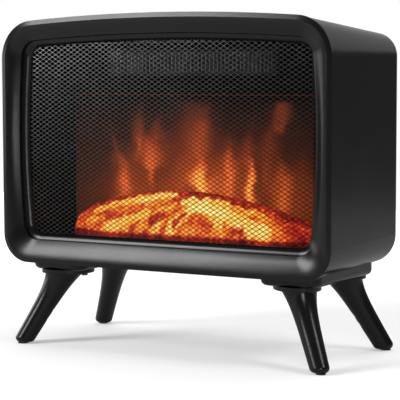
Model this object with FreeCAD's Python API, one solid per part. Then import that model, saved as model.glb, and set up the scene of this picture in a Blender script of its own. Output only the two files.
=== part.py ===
import FreeCAD, Part
import math
import os

# Tabletop electric fireplace: a small fan heater with a flame display behind a mesh,
# in a crowned case on splayed legs. Millimetres, +Z up, +X to the viewer's right, front to -Y.
# While the pieces are built, y counts backwards from the plane of the bezel's outline.
# At the end every piece moves together, so that the middle of the whole lies over the origin.

# Bezel outline, seen square on
FRONT_W = 340.0
FRONT_H = 229.0
TOP_R = 35.0
LOW_R = 27.0
CROWN_RISE = 7.6

# Bezel section, from the outline inwards
RIM_W = 4.25
RIDGE_RISE = 1.2
SLOPE_DROP = 6.2
SLOPE_BULGE = 1.1
LIP_SIDE = 15.5
LIP_LOW = 20.8
LIP_TOP = 17.7
LIP_R = 16.0
LIP_BOW = 5.0
FLARE = 1.0
RETURN_D = 4.0
BEZEL_WALL = 2.0
RIM_D = 2.6
SHADOW_GAP = 1.6
SHADOW_DEPTH = 1.9
SKIRT_D = 9.0
SKIRT_WALL = 1.6

# Case, tapered from the bezel to the back
CASE_DEPTH = 141.5
CASE_INSET = 0.75
CASE_WALL = 2.2
REAR_TAPER = 2.0
REAR_TOP_DROP = 12.0
REAR_LOW_RAISE = 2.5
REAR_TOP_R = 21.0
REAR_LOW_R = 27.0
LEAST_R = 1.5

# Rear cover
COVER_T = 2.8
COVER_INSET = 0.3
COVER_EDGE_R = 2.2
COVER_SKIRT_D = 7.0
COVER_BOSS_R = 4.6
COVER_BOSS_L = 16.0
COVER_BOSS_INSET = 6.0
SLOT_ROWS = 8
SLOT_COLUMNS = 2
SLOT_W = 74.0
SLOT_H = 3.2
SLOT_PITCH_Z = 7.0
SLOT_PITCH_X = 82.0

# Stack behind the bezel: bead ring, mesh and the liner's flange
FRAME_OUT = 7.6
FRAME_T = 5.4
BEAD_STEP = 0.75
BEAD_W = 5.5
BEAD_BULGE = 1.0
BEAD_LAND = 1.0
MESH_T = 0.8
MESH_LAP = 1.4
MESH_PITCH_X = 27.0
MESH_PITCH_Z = 15.6
MESH_STRAND = 1.5
LEAST_GAP_AREA = 12.0
SHEET_T = 0.8
FRONT_SCREW_INSET = 10.4
FRONT_SCREW_CORNER = 70.0

# Feet, legs and rails
PAD_T = 1.2
PAD_MARGIN = 0.3
LEG_H = 65.8
LEG_TIP_R = 8.4
LEG_SHAFT_R = 9.1
LEG_NECK_R = 10.5
LEG_TOP_R = 15.4
LEG_SHAFT_AT = 20.0
LEG_NECK_AT = 44.0
LEG_TIP_ROUND = 4.0
FLANGE_T = 4.0
FLANGE_LONG = 24.7
FLANGE_SHORT = 20.0
FLANGE_BACK = 3.3
FLANGE_ROUND = 1.0
RAIL_H = 7.5
RAIL_W = 58.0
RAIL_INSET = 49.0
RAIL_MARGIN_FRONT = 8.5
RAIL_MARGIN_BACK = 5.5
RAIL_CORNER_R = 12.0
RAIL_EDGE_R = 5.0
RAIL_WALL = 2.6
RAIL_RIB_T = 2.0
RAIL_CELLS_X = 2
RAIL_CELLS_Y = 4
FEET_INSET = 13.7
FEET_SPAN_Y = 135.0
FEET_BACK = 5.5
SOCKET_SPAN_Y = 88.6
SOCKET_OUT = 2.7

# Firebox
LINER_SIDE = 24.0
LINER_LOW = 17.5
LINER_TOP = 25.5
SCREEN_Y = 84.0
SCREEN_T = 2.0
SCREEN_LAP = 2.6
PANEL_Y = 58.0
SHELF_DROP = 47.0
PANEL_GAP = 0.3
CHASSIS_LIFT = 8.0
CHASSIS_T = 1.2
CHASSIS_MARGIN = 21.0
CHASSIS_BACK = 8.0
BED_MARGIN = 12.0
BED_H = 49.0
BED_END_H = 10.0
BED_FRONT = 22.0
BED_CREST = 60.0
BED_REAR_SHARE = 0.78
BED_LEFT_FALL = 4.5
BED_RIGHT_FALL = 1.7
BED_WALL = 2.4
BED_STATIONS = 9
LOG_R = 7.5

# Light boards
BOARD_T = 1.6
BOARD_W = 14.0
BOARD_MARGIN = 46.0
BOARD_LIFT = 1.4
LAMP_R = 2.5
LAMP_H = 3.0
LAMP_COUNT = 7

# Flame spindle
SPINDLE_Y = 110.0
SPINDLE_LIFT = 25.0
SPINDLE_R = 2.0
SPINDLE_MARGIN = 26.0
FOIL_COUNT = 9
FOIL_BLADES = 4
FOIL_R = 15.0
FOIL_W = 16.0
FOIL_T = 0.6
FOIL_TURN = 31.0
COLLAR_R = 3.6
COLLAR_L = 5.0
BRACKET_T = 1.5
BRACKET_W = 26.0
BRACKET_FOOT = 10.0
SPINDLE_BUSH_R = 4.5
SPINDLE_BUSH_L = 5.0
GEARMOTOR_R = 20.0
GEARMOTOR_L = 18.0

# Heater duct and blower
GRILLE_H = 25.0
GRILLE_RAISE = 5.5
GRILLE_FRAME = 3.0
GRILLE_FACE_T = 1.6
GRILLE_FIN_T = 1.0
GRILLE_FIN_PITCH = 4.0
GRILLE_SPIGOT_D = 5.0
DUCT_WALL = 1.5
DUCT_H = 26.0
DUCT_KNEE_Y = 84.0
WHEEL_Y = 108.0
WHEEL_R = 19.0
WHEEL_HALF = 81.0
WHEEL_END_GAP = 5.5
WHEEL_DISC_T = 1.6
WHEEL_BLADES = 24
BLADE_IN_R = 13.5
BLADE_LEAN = 24.0
BLADE_BEND = 0.3
BLADE_T_DEG = 3.0
BLADE_EDGE = 0.3
WHEEL_LOW = 8.0
SCROLL_GAP = 4.0
SCROLL_END = -10.0
TONGUE_GAP = 2.2
SHAFT_R = 2.5
HUB_R = 6.0
HUB_L = 12.0
BUSH_R = 6.0
BUSH_L = 6.0
MOTOR_R = 17.0
MOTOR_L = 30.0
MOTOR_PLATE = 40.0
MOTOR_PLATE_T = 2.0
HEATER_Y = 66.0
HEATER_T = 9.0
HEATER_FRAME_W = 6.0
HEATER_FRAME_H = 3.0
HEATER_FIN_T = 0.8
HEATER_FIN_PITCH = 4.0
HEATER_BAR_H = 1.2
CUTOUT_R = 7.0
CUTOUT_H = 6.0

# Electrics
CONTROL_Y = 30.0
CONTROL_D = 46.0
CONTROL_RAISE = 28.0
CONTROL_H = 70.0
CONTROL_GAP = 3.0
RELAY = 10.0
TILT_W = 13.0
TILT_D = 20.0
TILT_H = 18.0
TERMINAL_W = 9.0
TERMINAL_D = 26.0
TERMINAL_H = 11.0
GLAND_INSET = 28.0
GLAND_RAISE = 34.0
GLAND_BORE_R = 3.4
GLAND_BODY_R = 6.2
GLAND_FLANGE_R = 9.0
GLAND_FLANGE_T = 2.2
GLAND_L = 13.0

# Rocker switches
SWITCH_INSET = 52.0
SWITCH_GAP = 26.0
SWITCH_RAISE = 34.0
SWITCH_BODY_H = 19.4
SWITCH_BODY_W = 13.0
SWITCH_BODY_D = 15.0
SWITCH_RIM = 1.5
SWITCH_RIM_T = 1.4
WELL_HALF_H = 8.3
WELL_HALF_W = 5.1
WELL_D = 10.0
ROCKER_HALF_H = 7.2
ROCKER_HALF_W = 4.7
ROCKER_RISE = 3.6
ROCKER_VALLEY = 2.2
ROCKER_BACK = 2.6
ROCKER_TILT = 9.0
PIVOT_R = 1.2
PIVOT_L = 0.9
PIVOT_SINK = 0.6

# Screws and clearances
SCREW_R = 1.5
SCREW_HEAD_R = 3.0
SCREW_HEAD_H = 2.0
SCREW_BOSS_R = 4.4
SCREW_DEPTH = 6.0
HOLE_GAP = 0.25
FIT_GAP = 0.15
RUN_GAP = 0.05

FULL_TURN = 360.0
V = FreeCAD.Vector
AHEAD = V(0, 1, 0)
UP = V(0, 0, 1)
RIGHT = V(1, 0, 0)


# Small helpers

def box(x0, x1, y0, y1, z0, z1):
    return Part.makeBox(x1 - x0, y1 - y0, z1 - z0, V(x0, y0, z0))


def rod(radius, start, end):
    return Part.makeCylinder(radius, (end - start).Length, start, end - start)


def posts_y(radius, points, y0, y1):
    return [rod(radius, V(x, y0, z), V(x, y1, z)) for x, z in points]


def posts_z(radius, points, z0, z1):
    return [rod(radius, V(x, y, z0), V(x, y, z1)) for x, y in points]


def line(start, end):
    return Part.LineSegment(start, end).toShape()


def arc(start, middle, end):
    return Part.Arc(start, middle, end).toShape()


def extrude_x(edges, x0, x1):
    face = Part.Face(Part.Wire(edges))
    face.translate(V(x0, 0, 0))
    return face.extrude(V(x1 - x0, 0, 0))


def prism_x(points, x0, x1):
    corners = [V(0, y, z) for y, z in points]
    edges = [line(a, b) for a, b in zip(corners, corners[1:] + corners[:1])]
    return extrude_x(edges, x0, x1)


def join(shapes):
    return shapes[0].multiFuse(shapes[1:]).removeSplitter()


def mirrored(shape):
    return shape.mirror(V(0, 0, 0), RIGHT)


def meeting(x0, z0, r0, x1, z1, r1):
    """The right-hand point where two circles cross."""
    apart = math.hypot(x1 - x0, z1 - z0)
    along = (r0 ** 2 - r1 ** 2 + apart ** 2) / (2 * apart)
    off = math.sqrt(r0 ** 2 - along ** 2)
    ux = (x1 - x0) / apart
    uz = (z1 - z0) / apart
    return max((x0 + along * ux - off * hand * uz, z0 + along * uz + off * hand * ux) for hand in (-1, 1))


def screw(seat, direction, grip):
    """A pan-head screw: its head stands on the seat against the direction, its shank goes along it."""
    head = rod(SCREW_HEAD_R, seat - direction * SCREW_HEAD_H, seat)
    outer = [e for e in head.Edges if e.Closed and (e.CenterOfMass - seat).Length > SCREW_HEAD_H / 2]
    head = head.makeFillet(SCREW_HEAD_H * 0.4, outer)
    return head.fuse(rod(SCREW_R, seat, seat + direction * grip)).removeSplitter()


def screw_hole(seat, direction, depth, gap=0.0):
    return rod(SCREW_R + gap, seat - direction * depth, seat + direction * depth)


# Cross-sections of the cabinet

class Section:
    """A rounded rectangle with a crowned top edge and sides that may bow, square to y."""

    def __init__(self, half, low, top, r_top, r_low, crown_r, bow=0.0):
        self.half = half
        self.low = low
        self.top = top
        self.r_top = r_top
        self.r_low = r_low
        self.crown_r = crown_r
        self.bow = bow

    def inset(self, by):
        r_top = max(self.r_top - by, LEAST_R)
        r_low = max(self.r_low - by, LEAST_R)
        crown_r = self.crown_r - by
        return Section(self.half - by, self.low + by, self.top - by, r_top, r_low, crown_r, self.bow)

    def blend(self, other, share):
        pairs = zip(vars(self).values(), vars(other).values())
        return Section(*[a + (b - a) * share for a, b in pairs])

    def side_arc(self):
        """Centre and radius of the bowed right side, in x and z."""
        rise = (self.top - self.low) / 2
        radius = (rise ** 2 + self.bow ** 2) / (2 * self.bow)
        return self.half - radius, self.low + rise, radius

    def corner(self, side, upper):
        """Centre and radius of one corner's rounding, in x and z, tangent to both its neighbours."""
        radius = self.r_top if upper else self.r_low
        reach = self.crown_r - radius
        crown_mid = self.top - self.crown_r
        x = self.half - radius
        z = crown_mid + math.sqrt(reach ** 2 - x ** 2) if upper else self.low + radius
        if self.bow:
            mid_x, mid_z, side_r = self.side_arc()
            if upper:
                x, z = meeting(0, crown_mid, reach, mid_x, mid_z, side_r - radius)
            else:
                x = mid_x + math.sqrt((side_r - radius) ** 2 - (z - mid_z) ** 2)
        return side * x, z, radius

    def corner_point(self, side, upper, inset):
        """The point on a corner's diagonal that lies the inset inside the outline."""
        x, z, radius = self.corner(side, upper)
        reach = (radius - inset) * math.sqrt(0.5)
        return x + side * reach, z + (reach if upper else -reach)

    def crown_z(self, x):
        return self.top - self.crown_r + math.sqrt(self.crown_r ** 2 - x ** 2)

    def wire(self, y):
        crown_mid = self.top - self.crown_r
        foot_x, foot_z, r_low = self.corner(1, False)
        top_x, top_z, r_top = self.corner(1, True)
        lean = math.atan2(top_z - crown_mid, top_x)
        side_low = 0.0
        side_top = 0.0
        if self.bow:
            mid_x, mid_z, side_r = self.side_arc()
            side_low = math.atan2(foot_z - mid_z, foot_x - mid_x)
            side_top = math.atan2(top_z - mid_z, top_x - mid_x)

        def turn(x, z, radius, start, end):
            angles = (start, (start + end) / 2, end)
            return arc(*[V(x + radius * math.cos(a), y, z + radius * math.sin(a)) for a in angles])

        def flank(side):
            if self.bow:
                ends = (side_low, side_top) if side > 0 else (math.pi - side_top, math.pi - side_low)
                return turn(side * mid_x, mid_z, side_r, *ends)
            ends = (foot_z, top_z) if side > 0 else (top_z, foot_z)
            return line(*[V(side * self.half, y, z) for z in ends])

        quarter = math.pi / 2
        return Part.Wire([
            line(V(-foot_x, y, self.low), V(foot_x, y, self.low)),
            turn(foot_x, foot_z, r_low, -quarter, side_low),
            flank(1),
            turn(top_x, top_z, r_top, side_top, lean),
            turn(0, crown_mid, self.crown_r, lean, math.pi - lean),
            turn(-top_x, top_z, r_top, math.pi - lean, math.pi - side_top),
            flank(-1),
            turn(-foot_x, foot_z, r_low, math.pi - side_low, math.pi + quarter),
        ])

    def slab(self, y0, y1):
        return Part.Face(self.wire(y0)).extrude(V(0, y1 - y0, 0))


def crowned(width, low, height, r_top, r_low):
    half = width / 2
    crown_r = (half ** 2 + CROWN_RISE ** 2) / (2 * CROWN_RISE)
    return Section(half, low, low + height, r_top, r_low, crown_r)


def loft(first, y0, second, y1):
    return Part.makeLoft([first.wire(y0), second.wire(y1)], True, True)


def rolled(first, y0, second, y1, bulge):
    """A funnel between two sections whose wall bulges forwards halfway and runs on past both."""
    width = second.low - first.low
    front_y = y0 - FLARE * (y1 - y0 - 4 * bulge) / width
    back_y = y1 + FLARE * (y1 - y0 + 4 * bulge) / width
    middle = first.blend(second, 0.5)
    stations = [
        (first.inset(-FLARE), front_y),
        (first, y0),
        (middle, (y0 + y1) / 2 - bulge),
        (second, y1),
        (second.inset(FLARE), back_y),
    ]
    return Part.makeLoft([section.wire(y) for section, y in stations], True, False)


# Levels and planes that the pieces share
FLANGE_Z = PAD_T + LEG_H
RAIL_Z = FLANGE_Z + FLANGE_T
CASE_LOW = RAIL_Z + RAIL_H
CASE_FRONT = RIM_D + SHADOW_GAP
COVER_SEAT = CASE_DEPTH - COVER_T
SLOPE_END_Y = SLOPE_DROP - RIDGE_RISE
FRAME_Y = SLOPE_END_Y + RETURN_D
MESH_Y = FRAME_Y + FRAME_T
LINER_Y = MESH_Y + MESH_T
RAIL_SPAN = FRONT_W - 2 * RAIL_INSET
FEET_SPAN_X = FRONT_W - 2 * FEET_INSET
FRONT_SCREW_X = FRONT_W / 2 - FRONT_SCREW_CORNER
SWITCH_X = FRONT_W / 2 - SWITCH_INSET
GLAND_X = FRONT_W / 2 - GLAND_INSET
LINER_HALF = FRONT_W / 2 - LINER_SIDE
BED_HALF = LINER_HALF - BED_MARGIN
BOARD_L = 2 * (LINER_HALF - BOARD_MARGIN)
SPINDLE_L = 2 * (LINER_HALF - SPINDLE_MARGIN)
DUCT_HALF = WHEEL_HALF + WHEEL_END_GAP
GRILLE_HALF = DUCT_HALF + GRILLE_FRAME
LINER_FLOOR = CASE_LOW + LINER_LOW
LINER_CEILING = CASE_LOW + FRONT_H - LINER_TOP
SHELF_Z = LINER_CEILING - SHELF_DROP
CHASSIS_Z = CASE_LOW + CHASSIS_LIFT
CHASSIS_TOP = CHASSIS_Z + CHASSIS_T
SPINDLE_Z = CHASSIS_TOP + SPINDLE_LIFT
GRILLE_Z = LINER_CEILING - GRILLE_RAISE - GRILLE_H / 2
DUCT_LOW = GRILLE_Z - DUCT_H / 2
DUCT_TOP = GRILLE_Z + DUCT_H / 2
WHEEL_Z = DUCT_LOW + WHEEL_LOW
PANEL_BACK = PANEL_Y + SHEET_T
FEET_Y = (CASE_FRONT + CASE_DEPTH) / 2 + FEET_BACK - SHADOW_GAP

OUTLINE = crowned(FRONT_W, CASE_LOW, FRONT_H, TOP_R, LOW_R)
REAR_H = FRONT_H - REAR_LOW_RAISE - REAR_TOP_DROP
REAR_W = FRONT_W - 2 * REAR_TAPER
REAR = crowned(REAR_W, CASE_LOW + REAR_LOW_RAISE, REAR_H, REAR_TOP_R, REAR_LOW_R)
LIP_Z = (CASE_LOW + LIP_LOW, CASE_LOW + FRONT_H - LIP_TOP)
RIDGE = OUTLINE.inset(RIM_W)
LIP = Section(FRONT_W / 2 - LIP_SIDE, *LIP_Z, LIP_R, LIP_R, OUTLINE.crown_r - LIP_TOP, LIP_BOW)
BEAD = LIP.inset(BEAD_STEP)
WINDOW = BEAD.inset(BEAD_W)


def case_section(y, inset=0.0):
    share = (y - CASE_FRONT) / (CASE_DEPTH - CASE_FRONT)
    return OUTLINE.inset(CASE_INSET).blend(REAR, share).inset(inset)


def case_solid(y0, y1, inset=0.0):
    return loft(case_section(y0, inset), y0, case_section(y1, inset), y1)


# Front: bezel, bead ring and mesh

def front_screw_points():
    middle = CASE_LOW + FRONT_H / 2
    ring = OUTLINE.inset(FRONT_SCREW_INSET)
    points = []
    for side in (-1, 1):
        points.append((side * FRONT_SCREW_X, ring.low))
        points.append((side * FRONT_SCREW_X, ring.crown_z(FRONT_SCREW_X)))
        points.append((side * ring.half, middle))
    return points


def front_holes(shape, gap):
    cuts = [screw_hole(V(x, LINER_Y, z), AHEAD, FRAME_T * 2, gap) for x, z in front_screw_points()]
    return shape.cut(Part.makeCompound(cuts))


def front_bezel():
    """Rim, crisp ridge and rolled slope round the screen, with a skirt that slides into the case."""
    skirt_inset = CASE_WALL + FIT_GAP
    skirt_end = CASE_FRONT + SKIRT_D
    back = OUTLINE.inset(CASE_INSET + skirt_inset + BEZEL_WALL)
    sleeve = LIP.inset(-BEZEL_WALL)
    sleeve_y = SLOPE_END_Y + BEZEL_WALL
    crest = RIM_W + FLARE / 4
    step = OUTLINE.inset(SHADOW_DEPTH).slab(RIM_D, CASE_FRONT).cut(back.slab(RIM_D - 1, CASE_FRONT + 1))
    skirt_hollow = case_solid(CASE_FRONT - 1, skirt_end + 1, skirt_inset + SKIRT_WALL)
    pieces = [
        loft(OUTLINE.inset(crest), -RIDGE_RISE * crest / RIM_W, OUTLINE, 0),
        OUTLINE.slab(0, RIM_D),
        step,
        loft(back, RIM_D, sleeve, sleeve_y),
        sleeve.slab(sleeve_y, FRAME_Y),
        case_solid(CASE_FRONT, skirt_end, skirt_inset).cut(skirt_hollow),
    ]
    pieces += posts_y(SCREW_BOSS_R, front_screw_points(), RIM_D, FRAME_Y)
    funnel = rolled(RIDGE, -RIDGE_RISE, LIP, SLOPE_END_Y, SLOPE_BULGE)
    holes = posts_y(SCREW_R, front_screw_points(), FRAME_Y - SCREW_DEPTH / 2, FRAME_Y)
    throat = LIP.slab(-RIDGE_RISE - FLARE, FRAME_Y + FLARE)
    return join(pieces).cut(funnel).cut(throat).cut(Part.makeCompound(holes))


def mesh_frame():
    """Bead ring that fills the step between the bezel's lip and the mesh."""
    land_y = MESH_Y - BEAD_LAND
    body = OUTLINE.inset(FRAME_OUT).slab(FRAME_Y, MESH_Y)
    funnel = rolled(BEAD, FRAME_Y, WINDOW, land_y, BEAD_BULGE)
    throat = WINDOW.slab(FRAME_Y - FLARE, MESH_Y + FLARE)
    return front_holes(body.cut(funnel).cut(throat), HOLE_GAP)


def diamond(x, z):
    half_x = (MESH_PITCH_X - MESH_STRAND * 2) / 2
    half_z = (MESH_PITCH_Z - MESH_STRAND) / 2
    corners = [V(x - half_x, MESH_Y, z), V(x, MESH_Y, z - half_z)]
    corners += [V(x + half_x, MESH_Y, z), V(x, MESH_Y, z + half_z)]
    return Part.makePolygon(corners + corners[:1])


def front_mesh():
    """Expanded-metal sheet: one face with diamond gaps in staggered rows, given its thickness."""
    edge = WINDOW.inset(-MESH_LAP)
    window = Part.Face(edge.wire(MESH_Y))
    rows = math.ceil((edge.top - edge.low) / MESH_PITCH_Z) * 2
    columns = math.ceil(edge.half / MESH_PITCH_X) + 1
    middle = (edge.low + edge.top) / 2
    gaps = []
    for row in range(-rows, rows + 1):
        shift = (row % 2) * MESH_PITCH_X / 2
        for column in range(-columns, columns + 1):
            wire = diamond(column * MESH_PITCH_X + shift, middle + row * MESH_PITCH_Z / 2)
            clipped = Part.Face(wire).common(window)
            gaps += [face.OuterWire for face in clipped.Faces if face.Area > LEAST_GAP_AREA]
    print("mesh gaps:", len(gaps))
    sheet = Part.makeFace([OUTLINE.inset(FRAME_OUT).wire(MESH_Y)] + gaps, "Part::FaceMakerBullseye")
    return front_holes(sheet.extrude(V(0, MESH_T, 0)), HOLE_GAP)


def front_screws():
    grip = LINER_Y + SHEET_T - FRAME_Y + SCREW_DEPTH / 2
    return [screw(V(x, LINER_Y + SHEET_T, z), -AHEAD, grip) for x, z in front_screw_points()]


# Case and rear cover

def cover_screw_points():
    section = case_section(COVER_SEAT)
    corners = [(side, upper) for side in (-1, 1) for upper in (False, True)]
    points = [section.corner_point(side, upper, COVER_BOSS_INSET) for side, upper in corners]
    middle = (section.low + section.top) / 2
    reach = section.half - COVER_BOSS_INSET
    return points + [(-reach, middle), (reach, middle)]


def rail_screw_points(side):
    return [(side * RAIL_SPAN / 2, FEET_Y + offset) for offset in (-SCREW_BOSS_R * 2, SCREW_BOSS_R * 2)]


def chassis_points():
    x = LINER_HALF - CHASSIS_MARGIN
    ys = (CHASSIS_FRONT + CHASSIS_BACK, CHASSIS_END - CHASSIS_BACK)
    return [(side * x, y) for side in (-1, 1) for y in ys]


CHASSIS_FRONT = LINER_Y + SHEET_T + SCREW_HEAD_H * 1.5
CHASSIS_END = COVER_SEAT - COVER_SKIRT_D - CHASSIS_BACK


def case_shell():
    outer = case_solid(CASE_FRONT, COVER_SEAT)
    inner = case_solid(CASE_FRONT - 1, COVER_SEAT + 1, CASE_WALL)
    posts = posts_y(COVER_BOSS_R, cover_screw_points(), COVER_SEAT - COVER_BOSS_L, COVER_SEAT)
    rail_points = rail_screw_points(-1) + rail_screw_points(1)
    seats = posts_z(SCREW_BOSS_R, chassis_points(), CASE_LOW, CHASSIS_Z)
    seats += posts_z(SCREW_BOSS_R, rail_points, CASE_LOW, RAIL_SCREW_SEAT)
    shell = join([outer.cut(inner)] + [piece.common(outer) for piece in posts + seats])
    holes = posts_y(SCREW_R, cover_screw_points(), COVER_SEAT - COVER_BOSS_L / 2, COVER_SEAT)
    holes += [screw_hole(V(x, y, RAIL_SCREW_SEAT), -UP, CHASSIS_LIFT, HOLE_GAP) for x, y in rail_points]
    holes += [screw_hole(V(x, y, CHASSIS_Z), -UP, SCREW_DEPTH * 0.7) for x, y in chassis_points()]
    return shell.cut(Part.makeCompound(holes))


RAIL_SCREW_SEAT = CHASSIS_Z - SCREW_HEAD_H - FIT_GAP


def slot(x, z):
    """One intake slot with round ends, longer than the cover is thick."""
    half = (SLOT_W - SLOT_H) / 2
    radius = SLOT_H / 2
    y = COVER_SEAT - COVER_T
    edges = [
        line(V(x - half, y, z - radius), V(x + half, y, z - radius)),
        arc(V(x + half, y, z - radius), V(x + half + radius, y, z), V(x + half, y, z + radius)),
        line(V(x + half, y, z + radius), V(x - half, y, z + radius)),
        arc(V(x - half, y, z + radius), V(x - half - radius, y, z), V(x - half, y, z - radius)),
    ]
    return Part.Face(Part.Wire(edges)).extrude(V(0, COVER_T * 3, 0))


def rear_cover():
    plate = case_solid(COVER_SEAT, CASE_DEPTH, COVER_INSET)
    back = [e for e in plate.Edges if abs(e.CenterOfMass.y - CASE_DEPTH) < 1e-6]
    plate = plate.makeFillet(COVER_EDGE_R, back)
    inset = CASE_WALL + FIT_GAP
    skirt_y = COVER_SEAT - COVER_SKIRT_D
    skirt_hollow = case_solid(skirt_y - 1, COVER_SEAT + 1, inset + BEZEL_WALL)
    skirt = case_solid(skirt_y, COVER_SEAT, inset).cut(skirt_hollow)
    room = posts_y(COVER_BOSS_R + FIT_GAP * 2, cover_screw_points(), skirt_y - 1, COVER_SEAT)
    cover = plate.fuse(skirt.cut(Part.makeCompound(room))).removeSplitter()
    cuts = [screw_hole(V(x, CASE_DEPTH, z), AHEAD, COVER_T * 2, HOLE_GAP) for x, z in cover_screw_points()]
    for row in range(SLOT_ROWS):
        z = WHEEL_Z + (row - (SLOT_ROWS - 1) / 2) * SLOT_PITCH_Z
        for column in range(SLOT_COLUMNS):
            cuts.append(slot((column - (SLOT_COLUMNS - 1) / 2) * SLOT_PITCH_X, z))
    for x in switch_centres():
        half_w = SWITCH_BODY_W / 2 + FIT_GAP
        half_h = SWITCH_BODY_H / 2 + FIT_GAP
        y = CASE_DEPTH
        cuts.append(box(x - half_w, x + half_w, y - COVER_T * 2, y + 1, SWITCH_Z - half_h, SWITCH_Z + half_h))
    cuts += posts_y(GLAND_BODY_R + FIT_GAP, [(GLAND_X, GLAND_Z)], COVER_SEAT - 1, CASE_DEPTH + 1)
    return cover.cut(Part.makeCompound(cuts))


SWITCH_Z = CASE_LOW + SWITCH_RAISE
GLAND_Z = CASE_LOW + GLAND_RAISE


def switch_centres():
    return [-SWITCH_X, -SWITCH_X + SWITCH_GAP]


def rear_cover_screws():
    grip = COVER_T + COVER_BOSS_L / 2
    return [screw(V(x, CASE_DEPTH, z), -AHEAD, grip) for x, z in cover_screw_points()]


# Legs and rails

def leg_frame(side, end):
    """Foot point, leg-top point, splay direction and the slant's stretch for one leg."""
    foot = V(side * FEET_SPAN_X / 2, FEET_Y + end * FEET_SPAN_Y / 2, PAD_T)
    top = V(side * (RAIL_SPAN / 2 + SOCKET_OUT), FEET_Y + end * SOCKET_SPAN_Y / 2, FLANGE_Z)
    splay = V(foot.x - top.x, foot.y - top.y, 0)
    stretch = math.hypot(splay.Length, LEG_H) / LEG_H
    splay.normalize()
    return foot, top, splay, stretch


def oval(centre, long_r, short_r, splay):
    curve = Part.Ellipse(centre + splay * long_r, centre + UP.cross(splay) * short_r, centre)
    return Part.Wire(curve.toShape())


def leg_screw_points(side, end):
    foot, top, splay, stretch = leg_frame(side, end)
    middle = top - splay * FLANGE_BACK
    along = FLANGE_LONG * 0.61
    across = FLANGE_SHORT * 0.52
    return [middle - splay * along + UP.cross(splay) * across * hand for hand in (-1, 1)]


def leg(side, end):
    foot, top, splay, stretch = leg_frame(side, end)
    stations = [
        (0.0, LEG_TIP_R),
        (LEG_SHAFT_AT, LEG_SHAFT_R),
        (LEG_NECK_AT, LEG_NECK_R),
        ((LEG_NECK_AT + LEG_H) / 2, (LEG_NECK_R * 2 + LEG_TOP_R) / 3),
        (LEG_H, LEG_TOP_R),
    ]
    ovals = [oval(foot + (top - foot) * (z / LEG_H), r * stretch, r, splay) for z, r in stations]
    shaft = Part.makeLoft(ovals, True, False)
    tip = [e for e in shaft.Edges if e.BoundBox.ZMax < PAD_T + 0.01]
    shaft = shaft.makeFillet(LEG_TIP_ROUND, tip)
    middle = top - splay * FLANGE_BACK
    flange = Part.Face(oval(middle, FLANGE_LONG, FLANGE_SHORT, splay)).extrude(UP * FLANGE_T)
    rim = [e for e in flange.Edges if e.BoundBox.ZMax < FLANGE_Z + 0.01]
    flange = flange.makeFillet(FLANGE_ROUND, rim)
    holes = [screw_hole(point, UP, FLANGE_T * 2, HOLE_GAP) for point in leg_screw_points(side, end)]
    return shaft.fuse(flange).removeSplitter().cut(Part.makeCompound(holes))


def foot_pad(side, end):
    foot, top, splay, stretch = leg_frame(side, end)
    radius = LEG_TIP_R - LEG_TIP_ROUND - PAD_MARGIN
    base = V(foot.x, foot.y, 0)
    return Part.Face(oval(base, radius * stretch, radius, splay)).extrude(UP * PAD_T)


def leg_screws():
    grip = FLANGE_T + SCREW_DEPTH
    corners = [(side, end) for side in (-1, 1) for end in (-1, 1)]
    return [screw(point, UP, grip) for side, end in corners for point in leg_screw_points(side, end)]


def rail_screws():
    grip = RAIL_SCREW_SEAT - CASE_LOW + SCREW_DEPTH * 0.7
    points = rail_screw_points(-1) + rail_screw_points(1)
    return [screw(V(x, y, RAIL_SCREW_SEAT), -UP, grip) for x, y in points]


def rail_block(inset, low):
    """The rail's body, run up into the case, with its upright corners rounded."""
    half = RAIL_W / 2 - inset
    middle = RAIL_SPAN / 2
    front = CASE_FRONT + RAIL_MARGIN_FRONT + inset
    back = CASE_DEPTH - RAIL_MARGIN_BACK - inset
    block = box(middle - half, middle + half, front, back, low, CASE_LOW + CHASSIS_LIFT)
    upright = [e for e in block.Edges if e.BoundBox.ZLength > RAIL_H]
    return block.makeFillet(RAIL_CORNER_R - inset, upright)


def rail_cells():
    """The moulding's pockets, open to the case, with ribs left standing between them."""
    pocket = rail_block(RAIL_WALL, RAIL_Z + RAIL_WALL)
    extent = pocket.BoundBox
    half = RAIL_RIB_T / 2
    ribs = []
    for i in range(1, RAIL_CELLS_X):
        x = extent.XMin + extent.XLength * i / RAIL_CELLS_X
        ribs.append(box(x - half, x + half, extent.YMin, extent.YMax, extent.ZMin, extent.ZMax))
    for i in range(1, RAIL_CELLS_Y):
        y = extent.YMin + extent.YLength * i / RAIL_CELLS_Y
        ribs.append(box(extent.XMin, extent.XMax, y - half, y + half, extent.ZMin, extent.ZMax))
    return pocket.cut(Part.makeCompound(ribs))


def foot_rail(side):
    body = rail_block(0, RAIL_Z)
    rim = [e for e in body.Edges if e.BoundBox.ZMax < RAIL_Z + 0.01]
    body = body.makeFillet(RAIL_EDGE_R, rim)
    body = body.cut(rail_cells())
    leg_points = [p for end in (-1, 1) for p in leg_screw_points(1, end)]
    seats = [V(p.x, p.y, RAIL_Z) for p in leg_points]
    posts = [rod(SCREW_BOSS_R, p + UP * RAIL_WALL / 2, p + UP * (RAIL_H + REAR_LOW_RAISE)) for p in seats]
    through = [V(x, y, RAIL_Z) for x, y in rail_screw_points(1)]
    posts += [rod(SCREW_BOSS_R, p + UP * RAIL_WALL / 2, p + UP * (RAIL_H + REAR_LOW_RAISE)) for p in through]
    holes = [rod(SCREW_R, p - UP, p + UP * SCREW_DEPTH) for p in seats]
    bottom = CASE_LOW - SCREW_DEPTH * 0.7
    holes += [rod(SCREW_R, V(p.x, p.y, bottom), V(p.x, p.y, CASE_LOW + RAIL_H)) for p in through]
    body = join([body] + posts).cut(case_solid(CASE_FRONT, COVER_SEAT)).cut(Part.makeCompound(holes))
    return body if side > 0 else mirrored(body)


# Firebox

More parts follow.
